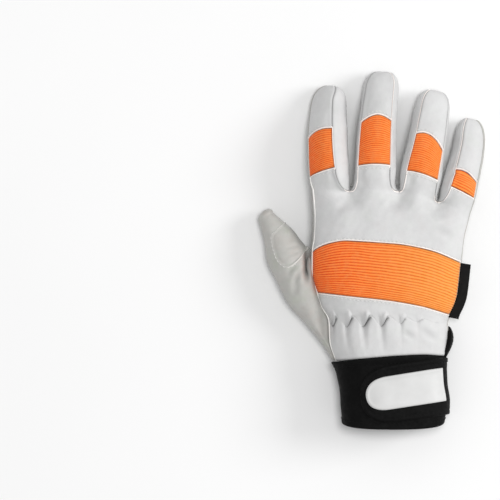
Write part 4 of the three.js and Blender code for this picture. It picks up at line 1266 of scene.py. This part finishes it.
# A loose piece's wall, named and placed. If it is trimmed, its edge is pale all round.
def shell(s, g, name, material, slotName, more=0.0, trimmed=False, seamShift=0.0):
    points, triangles = wallOf(s, looseRelief(s, g) + more)
    seam = np.minimum(s["seam"] + seamShift, farthest)
    trim = np.minimum(s["seam"] + 0.1, farthest) if trimmed else np.full(len(seam), farthest)
    s["outer"] = points[:len(s["points"])]
    print(name, len(triangles), "triangles")
    piece = fillMesh(name, points, triangles, {"seam": np.tile(seam, 2), "trim": np.tile(trim, 2)})
    return place(piece, material, s["name"], slotName)


# The cuff: rings of a superellipse. Degrees run from the thumb side, 0, over the back, 90, and v runs
# from the wrist down to the mouth. The first ring follows the wrist's rows, which dies out by
# (1 - v)^2, and the mouth's upper half dips by v^2.
cuffTable = (
    ("v", "x", "y", "halfWidth", "height"),
    (
        (0, 12.4, -78.6, 41.6, 44.5),
        (0.2, 14.1, -88.3, 38.9, 42.5),
        (0.4, 15.5, -98.3, 38.2, 42),
        (0.65, 16.8, -109.2, 38.7, 42.5),
        (0.85, 16.8, -119.4, 38.1, 43),
        (1, 16.4, -125.3, 37.4, 43.5),
    ),
)
cuff = {
    "mouthDip": 4.7, "gap": 0.5, "roundness": 2.5, "middle": 0.46, "belly": 1.12, "wall": 2.8,
    "roll": (1.3, 1.2), "lines": ((-0.3, 5.2, 0.5),), "dents": (0.35, 26, 21, 8),
}


def cuffPoint(degrees, v):
    angle = np.radians(degrees)
    c, q = -squared(np.cos(angle), 2 / cuff["roundness"]), squared(np.sin(angle), 2 / cuff["roundness"])
    at = lambda key: column(cuffTable, key, v)
    middle = cuff["middle"] * at("height")
    z = middle + q * np.where(q > 0, at("height") - middle, middle * cuff["belly"])
    x = at("x") + at("halfWidth") * c
    left, right = handTable[1][0][1:3]
    seam = rowY(np.full_like(x, cuffLine), share(x, left, right))
    y = at("y") + (seam - cuffTable[1][0][2]) * (1 - v) ** 2 - cuff["mouthDip"] * v * v * np.maximum(0, q)
    return onFloor(vec(x, y, z))


def cuffAt(degrees, y):  # the point of the cuff at an angle and a y, found by halving
    low, high = np.zeros_like(y), np.ones_like(y)
    for _ in range(22):
        middle = (low + high) / 2
        above = cuffPoint(degrees, middle)[..., 1] > y
        low, high = np.where(above, middle, low), np.where(above, high, middle)
    return cuffPoint(degrees, (low + high) / 2)


cuffShort = cuff["gap"] / (cuffTable[1][0][2] - cuffTable[1][-1][2])
around = np.linspace(0, 360, 300)[:-1]
down = mix(cuffShort, 1, steps(47, 0.25, 0.9))
cuffPart = patch(down, around, lambda v, a: cuffPoint(a, v), turned=True, wrap=True)
cuffSheet = loose("cuff", cuff, cuffPart, level=True)
shell(cuffSheet, cuff, "neoprene_cuff", neoprene, "neoprene")

# The strap and its badge are strips laid round the cuff from one angle to another, in degrees. The
# first end is rounded: half the width is the root of 1 - (1 - t)^n within the rounding.
strap = {
    "from": 57, "to": 222, "y": -103.6, "slope": 0.137, "halfWidth": 20.8, "rounding": 42, "roundness": 2.2,
    "length": 100, "width": 41, "wall": 2.2,
    "roll": (1.2, 1.3), "lines": ((-0.3, 3.4, 0.45), (0.18, 1.8, 1.0)), "dents": (0.25, 24, 22, 6),
}
badge = {
    "from": 65, "to": 153, "y": -102.8, "slope": 0.16, "halfWidth": 12.2, "rounding": 24, "roundness": 2.2,
    "length": 62, "width": 24, "wall": 1.2,
    "roll": (0.9, 0.8), "lines": ((0.3, 1.5, 0.7),), "crown": (0.2, 2.5, 9),
}
gap = 0.3
firstTurn = 0.02  # a rounded end starts this many radians in, so that it has a width


def stripPoint(strip, t, w):
    angle = mix(strip["from"], strip["to"], t)
    end = np.minimum(1, t * (strip["to"] - strip["from"]) / strip["rounding"])
    half = strip["halfWidth"] * np.sqrt(np.maximum(0, 1 - (1 - end) ** strip["roundness"]))
    under = cuffTable[1][2]
    sideways = cuffPoint(angle, np.full_like(t, under[0]))[..., 0] - under[1]
    return cuffAt(angle, strip["y"] + strip["slope"] * sideways + half * w)


def newStrip(node, strip, above):  # the rounded end's steps follow the turn of its outline
    turn = np.linspace(firstTurn, pi / 2, 26)
    rounded = (1 - np.cos(turn)) * strip["rounding"] / (strip["to"] - strip["from"])
    along = np.concatenate([rounded, mix(rounded[-1], 1, steps(strip["length"], 0.3, 0.9, low=False)[1:])])
    across = mix(-1, 1, steps(strip["width"]))
    part = patch(along, across, lambda t, w: stripPoint(strip, t, w), turned=True)
    return loose(node, strip, part, lift=above + strip["wall"])


strapSheet = newStrip("cuff_strap", strap, gap)
shell(strapSheet, strap, "wrist_strap", strapFace, "neoprene")
badgeSheet = newStrip("strap_badge", badge, 2 * gap + strap["wall"])
shell(badgeSheet, badge, "bare_badge", rubber, "badge_rubber")

# The gusset: an elastic tongue outside the little-finger side. It turns from the back to the palm, in
# radians round the hand's side seam, less so towards its rounded top, and it bulges by a sine.
gusset = {
    "foot": -0.03, "top": 0.82, "back": -0.16, "palm": 0.95, "tip": 0.15, "tuck": 2.4, "bulge": 2.9,
    "wall": 2.6, "lift": 0.6, "roll": (1.2, 1.1), "rib": 0.12, "ribPitch": 1.6, "ribFrom": (1, 2.5),
}


def gussetPoint(v, w):
    g = gusset
    u = mix(g["foot"], g["top"], v)
    half = mix(g["tip"], 1, np.sqrt(np.maximum(0, 1 - v ** 3)))
    turn = mix(g["back"], g["palm"], (1 + w * half) / 2)
    f = (1 + np.cos(turn)) / 2
    p = np.where((turn > 0)[..., None], handPalm(u, f), handBack(u, f))
    p[..., 0] += g["bulge"] * np.sin(pi * v ** 1.4) * (1 - w * w) - g["tuck"] * (1 - v) ** 3
    return p


gussetPart = patch(steps(26), mix(-1, 1, steps(17)), gussetPoint)
gussetSheet = loose("cuff_gusset", gusset, gussetPart, lift=gusset["lift"] + gusset["wall"])
ribs = gusset["rib"] * np.sin(gussetSheet["points"][:, 1] * 2 * pi / gusset["ribPitch"])
ribs *= share(gussetSheet["seam"], *gusset["ribFrom"])
shell(gussetSheet, gusset, "elastic_gusset", neoprene, "neoprene", more=ribs)

# The side tag: folded and woven, it stands out from the little-finger seam, droops and ripples a
# little. It runs from one row to another.
tag = {
    "from": 1.75, "to": 2.99, "width": 7.2, "gap": 0.5, "lift": 0.4, "lean": 1.2, "droop": 1.4,
    "ripple": 0.25, "ripples": 9, "wall": 1.2, "roll": (0.5, 0.5),
}


def tagPoint(u, t):
    ripple = tag["ripple"] * np.sin(u * tag["ripples"]) * t
    out, height = tag["gap"] + tag["width"] * t, tag["lift"] - tag["droop"] * t + ripple
    return handBack(u, np.ones_like(u)) + vec(out, -tag["lean"] * t, height)


tagRows = mix(tag["from"], tag["to"], steps(40, 0.2, 0.5))
tagSheet = loose("side_label", tag, patch(tagRows, steps(tag["width"], 0.15, 0.4, 1.5), tagPoint))
shell(tagSheet, tag, "bare_side_tag", wovenBlack, "woven_label")


# A path pressed onto a sheet: each point goes to the tangent plane at the nearest point of the sheet,
# which is looked for within 4 mm of the path's box
def laidOn(path, s):
    low, high = path.min(0) - 4, path.max(0) + 4
    near = np.flatnonzero(((s["outer"] > low) & (s["outer"] < high)).all(1))
    q = near[nearest(path, s["outer"][near], 200)[0]]
    if "outerNormal" not in s:
        s["outerNormal"] = softNormals(s["outer"], s["triangles"], 3)
    n = s["outerNormal"][q]
    return path - ((path - s["outer"][q]) * n).sum(1, keepdims=True) * n, n


# The thumb's overlay: it starts at the web side and bulges round the thumb to an arc. It runs from one
# of the thumb's rings to another and turns from low to high, in degrees. Along the thumb its turn is
# (1 - a^n)^(1/2) of the full turn, where a goes from -1 to 1. An inset draws it in for its stitches.
overlay = {
    "from": 2.25, "to": 5.8, "low": -30, "high": 121, "lowRoundness": 2.7, "highRoundness": 6,
    "endWidth": 0.05, "insetAlong": 1.6, "insetTurn": 45, "wall": 1.1, "lift": 0.5,
    "roll": (1.0, 1.0), "lines": ((0.15, 1.0, 0.6), (-0.3, 2.0, 0.6)), "crown": (0.6, 2, 10),
}


def overlayPoint(v, w, inset=0.0):
    o = overlay
    along = np.sin(v * pi / 2) * (1 - o["insetAlong"] * inset)
    roundness = np.where(along < 0, o["lowRoundness"], o["highRoundness"])
    half = mix(o["endWidth"], 1, np.sqrt(np.maximum(0, 1 - np.abs(along) ** roundness)))
    turn = mix(o["low"], o["high"] - o["insetTurn"] * inset, (1 + w) / 2 * half)
    return thumbPoint(mix(o["from"], o["to"], (1 + along) / 2), turn)


overlayPart = patch(mix(-1, 1, steps(66)), mix(-1, 1, steps(30)), overlayPoint, turned=True)
overlaySheet = loose("thumb_patch", overlay, overlayPart)
resting, facing = laidOn(overlaySheet["points"], byName["thumb_shell"])
lifted = resting + facing * overlay["lift"]
overlaySheet["points"] = relaxed(lifted, overlaySheet["triangles"], np.ones(len(lifted)), 4)
turnNormals([overlaySheet])
shell(overlaySheet, overlay, "thumb_overlay", palmLeather, "leather", trimmed=True, seamShift=0.3)


# Round trims carried along a path: at each point a ring of the given radius, square to the path. Both
# ends taper to almost nothing and are capped.
def tube(path, lifts, radius, sides=8):
    along = unit(np.gradient(path, axis=0))
    side = unit(np.cross(along, lifts))
    up = np.cross(side, along)
    turn = np.linspace(0, 2 * pi, sides, endpoint=False)
    ends = np.minimum(np.arange(len(path)), np.arange(len(path))[::-1])
    size = radius * np.where(ends > 0, 1, 0.02)[:, None, None]
    circles = np.cos(turn)[:, None] * side[:, None] + np.sin(turn)[:, None] * up[:, None]
    rings = path[:, None] + size * circles
    k = np.arange(len(path) * sides).reshape(len(path), sides)
    first, last, middle = k[0], k[-1], np.ones(sides - 2, int)
    caps = [
        np.stack([first[0] * middle, first[2:], first[1:-1]], -1),
        np.stack([last[0] * middle, last[1:-1], last[2:]], -1),
    ]
    return rings.reshape(-1, 3), np.concatenate([gridTriangles(k, wrap=True), *caps])


def evenly(path, pitch):  # points at an even pitch along a path
    lengths = lengthsAlong(path[:, :3])
    at = np.linspace(0, lengths[-1], max(2, round(lengths[-1] / pitch) + 1))
    return np.stack([np.interp(at, lengths, path[:, k]) for k in range(path.shape[1])], -1)


# A run of stitches: each is a small spindle of thread, proud in the middle and sunk at both ends. With
# x from -1 to 1, it is as thick as the root of 1 - x^4 and sinks by x^4.
thread = {
    "pitch": 3.0, "badgePitch": 2.6, "length": 2.3, "radius": 0.27, "proud": 0.12, "least": 0.002,
    "sides": 6, "rings": 7,
}


def stitches(path, s, pitch=None):
    t = thread
    points, normals = laidOn(evenly(path, pitch or t["pitch"]), s)
    clear = points[:, 2] > t["radius"] + t["proud"]
    points, normals = points[clear], normals[clear]
    along = unit(np.gradient(points, axis=0))
    side = unit(np.cross(along, normals))
    x = np.linspace(-1, 1, t["rings"])
    size = t["radius"] * np.sqrt(np.maximum(t["least"], 1 - x ** 4))
    height = t["proud"] - (t["radius"] + t["proud"]) * x ** 4
    turn = np.linspace(0, 2 * pi, t["sides"], endpoint=False)
    spine = points[:, None] + x[:, None] * t["length"] / 2 * along[:, None]
    spine = spine + height[:, None] * normals[:, None]
    ring = np.cos(turn)[:, None] * side[:, None, None] + np.sin(turn)[:, None] * normals[:, None, None]
    rings = spine[:, :, None] + size[:, None, None] * ring
    _, one = tube(vec(x, 0 * x, 0 * x), np.tile([0.0, 0, 1], (t["rings"], 1)), 1, t["sides"])
    count = t["rings"] * t["sides"]
    triangles = (one[None] + count * np.arange(len(points))[:, None, None]).reshape(-1, 3)
    return rings.reshape(-1, 3), triangles


print("piping and stitching")
rims = np.concatenate([s["edge"] for s in sheets])
rimNormals = np.concatenate([s["normal"][s["ends"]] for s in sheets])


def averaged(path):  # the mean of seven neighbours along a path
    padded = np.pad(path, ((3, 3), (0, 0)), "edge")
    return np.stack([np.convolve(padded[:, k], np.ones(7) / 7, "valid") for k in range(3)], -1)


# The piping is a tube in the groove of the thumb side's seam, from the cuff up the index finger to its
# ribbing. Over the knuckle band, where onTop is 1, it lies on the skin instead.
pipe = {
    "radius": 0.55, "pitch": 0.8, "inGroove": 0.05, "onSkin": 0.45,
    "besideSeam": (0.0022, 0.011), "movesOver": (2.95, 3.25),  # shares of the hand's width, and rows
    "upIndex": (0.193, 0.05),  # shares of the index finger's width
    "ontoSkin": (-35, -31), "offSkin": (3, 8),  # y
}
skinPanels = [byName[n] for n in ("back_panel", "knuckle_band", "wrist_panel")]
outer, triangles = joined([(s["outer"], s["triangles"]) for s in skinPanels])
backSkin = {"outer": outer, "triangles": triangles}


def piping(name, path, onTop):
    path = evenly(np.column_stack([path, onTop]), pipe["pitch"])
    path, onTop = path[:, :3], path[:, 3:]
    normals = unit(averaged(rimNormals[nearest(path, rims, 300)[0]]))
    laid, facing = laidOn(path, backSkin)
    path = mix(path + normals * pipe["inGroove"], averaged(laid) + facing * pipe["onSkin"], onTop)
    points, triangles = tube(path, unit(averaged(mix(normals, facing, onTop))), pipe["radius"])
    distances = np.full(len(points), farthest)
    piece = fillMesh(name, points, triangles, {"seam": distances, "trim": distances})
    place(piece, pipingLeather, None, "leather")


sideRows = np.linspace(cuffLine, crotchLine, 240)
indexRows = np.linspace(crotchLine, ribLow, 60) + 1e-6  # just past the crotch line, on the finger
beside = mix(*pipe["besideSeam"], ease(sideRows, *pipe["movesOver"]))
upIndex = fingerBack("index", indexRows, np.linspace(*pipe["upIndex"], len(indexRows)))
thumbSidePath = np.concatenate([handBack(sideRows, beside), upIndex[1:]])
y = thumbSidePath[:, 1]
onTop = ease(y, *pipe["ontoSkin"]) * (1 - ease(y, *pipe["offSkin"]))
piping("thumb_side_piping", thumbSidePath, onTop)

# How far the stitches lie from their seams: in millimetres, but for the overlay, whose inset is a
# share of its size, and the cuff, whose lines are rows of its own
inset = {
    "leather": 1.75, "fingertip": 1.05, "overlay": 0.1, "strap": 2.6, "badge": 1.6, "cuffTop": 0.1,
    "cuffHem": 0.9,
}
whole = np.linspace(0, 1, 400)
at = lambda value: np.full_like(whole, value)
runs = [
    (handBack(at(bandHigh + inset["leather"] / rowLength["knuckles"]), whole), byName["back_panel"], 4),
    (handBack(at(bandLow - inset["leather"] / rowLength["gathers"]), whole), byName["wrist_panel"], 4),
]
for n in fingerNames:
    onTip = ribHigh + inset["fingertip"] / (fingerTable[n][3][2] - fingerTable[n][2][2])
    onBase = ribLow - inset["leather"] / rowLength["fingerBase"]
    runs.append((fingerBack(n, at(onTip), whole), byName[f"{n}_tip"], 20))
    runs.append((fingerBack(n, at(onBase), whole), byName["back_panel"], 20))
runs.append((overlayPoint(mix(-1, 1, whole), at(1.0), inset["overlay"]), overlaySheet, 6))
pale = [stitches(path[ends:-ends], s) for path, s, ends in runs]


def stripEdge(strip, inset):  # along one long edge, round the rounded end and back along the other
    start = strip["from"] + inset * 1.4  # degrees per millimetre
    inner = {**strip, "from": start, "halfWidth": strip["halfWidth"] - inset}
    inner["rounding"] = strip["rounding"] * inner["halfWidth"] / strip["halfWidth"]
    end = inner["rounding"] / (inner["to"] - inner["from"])
    turn = mix(firstTurn, pi / 2, whole)
    t = np.concatenate([np.linspace(1, end, 200), (1 - np.cos(turn[::-1])) * end])
    there, back = (stripPoint(inner, x, np.full_like(x, side)) for x, side in ((t, 1.0), (t[::-1], -1.0)))
    return np.concatenate([there, back])[3:-3]


black = [stitches(stripEdge(strap, inset["strap"]), strapSheet)]
black += [stitches(cuffPoint(whole * 360, at(inset[key])), cuffSheet) for key in ("cuffTop", "cuffHem")]
onBadge = [stitches(stripEdge(badge, inset["badge"]), badgeSheet, thread["badgePitch"])]
for name, threads, material, slotName in (
    ("pale_stitching", pale, paleThread, "leather"), ("black_stitching", black, blackThread, "neoprene"),
    ("badge_stitching", onBadge, paleThread, "badge_rubber"),
):
    place(fillMesh(name, *joined(threads)), material, None, slotName)

# Floor, light and camera. The camera looks straight down from so far off that hardly anything
# converges. The glove's middle lies at glovePixel, and pixel is how many millimetres one takes.
print("setting the stage")
view = {"pixel": 0.73, "glovePixel": (370, 250.4), "imageSize": 500, "distance": 6.0, "sensor": 36.0}
lights = {  # place, diameter and watts
    "overhead": ((0.25, 0.15, 3.0), 0.9, 38),
    "side": ((2.6, 0.5, 1.6), 1.4, 44),
}
skyStrength = 0.46
scene = bpy.context.scene
scene.view_settings.view_transform = "Standard"


def newFloor(size=40.0):  # half its width, in metres
    mesh = bpy.data.meshes.new("floor")
    corners = [(-size, -size, 0), (size, -size, 0), (size, size, 0), (-size, size, 0)]
    mesh.from_pydata(corners, [], [(0, 1, 2, 3)])
    floor = bpy.data.objects.new("floor", mesh)
    scene.collection.objects.link(floor)
    m = newMaterial("pale_floor")
    tone = m.ramp(m.noise(3, 2), (0.3, 0.9), (0.7, 0.92))
    mesh.materials.append(m.finish(tone, 0.9, Specular_IOR_Level=0.1))


def newLight(name, position, size, power, target=(0.0, 0.0, 0.02)):  # a disk that faces its target
    data = bpy.data.lights.new(name, "AREA")
    data.shape = "DISK"
    data.size = size
    data.energy = power
    lamp = bpy.data.objects.new(name, data)
    lamp.location = position
    lamp.rotation_euler = (Vector(target) - Vector(position)).to_track_quat("-Z", "Y").to_euler()
    scene.collection.objects.link(lamp)


newFloor()
world = bpy.data.worlds.new("studio")
scene.world = world
world.use_nodes = True
sky = world.node_tree.nodes["Background"].inputs
sky["Color"].default_value = (1, 1, 1, 1)
sky["Strength"].default_value = skyStrength
for name, light in lights.items():
    newLight(name, *light)

cameraData = bpy.data.cameras.new("camera")
camera = bpy.data.objects.new("camera", cameraData)
span = view["pixel"] * view["imageSize"] * toMetres
middlePixel = view["imageSize"] / 2
cameraData.sensor_width = view["sensor"]
cameraData.lens = view["sensor"] * view["distance"] / span
cameraData.clip_end = 100
camera.location = (
    (middlePixel - view["glovePixel"][0]) * view["pixel"] * toMetres,
    (view["glovePixel"][1] - middlePixel) * view["pixel"] * toMetres,
    view["distance"],
)
scene.collection.objects.link(camera)
scene.camera = camera
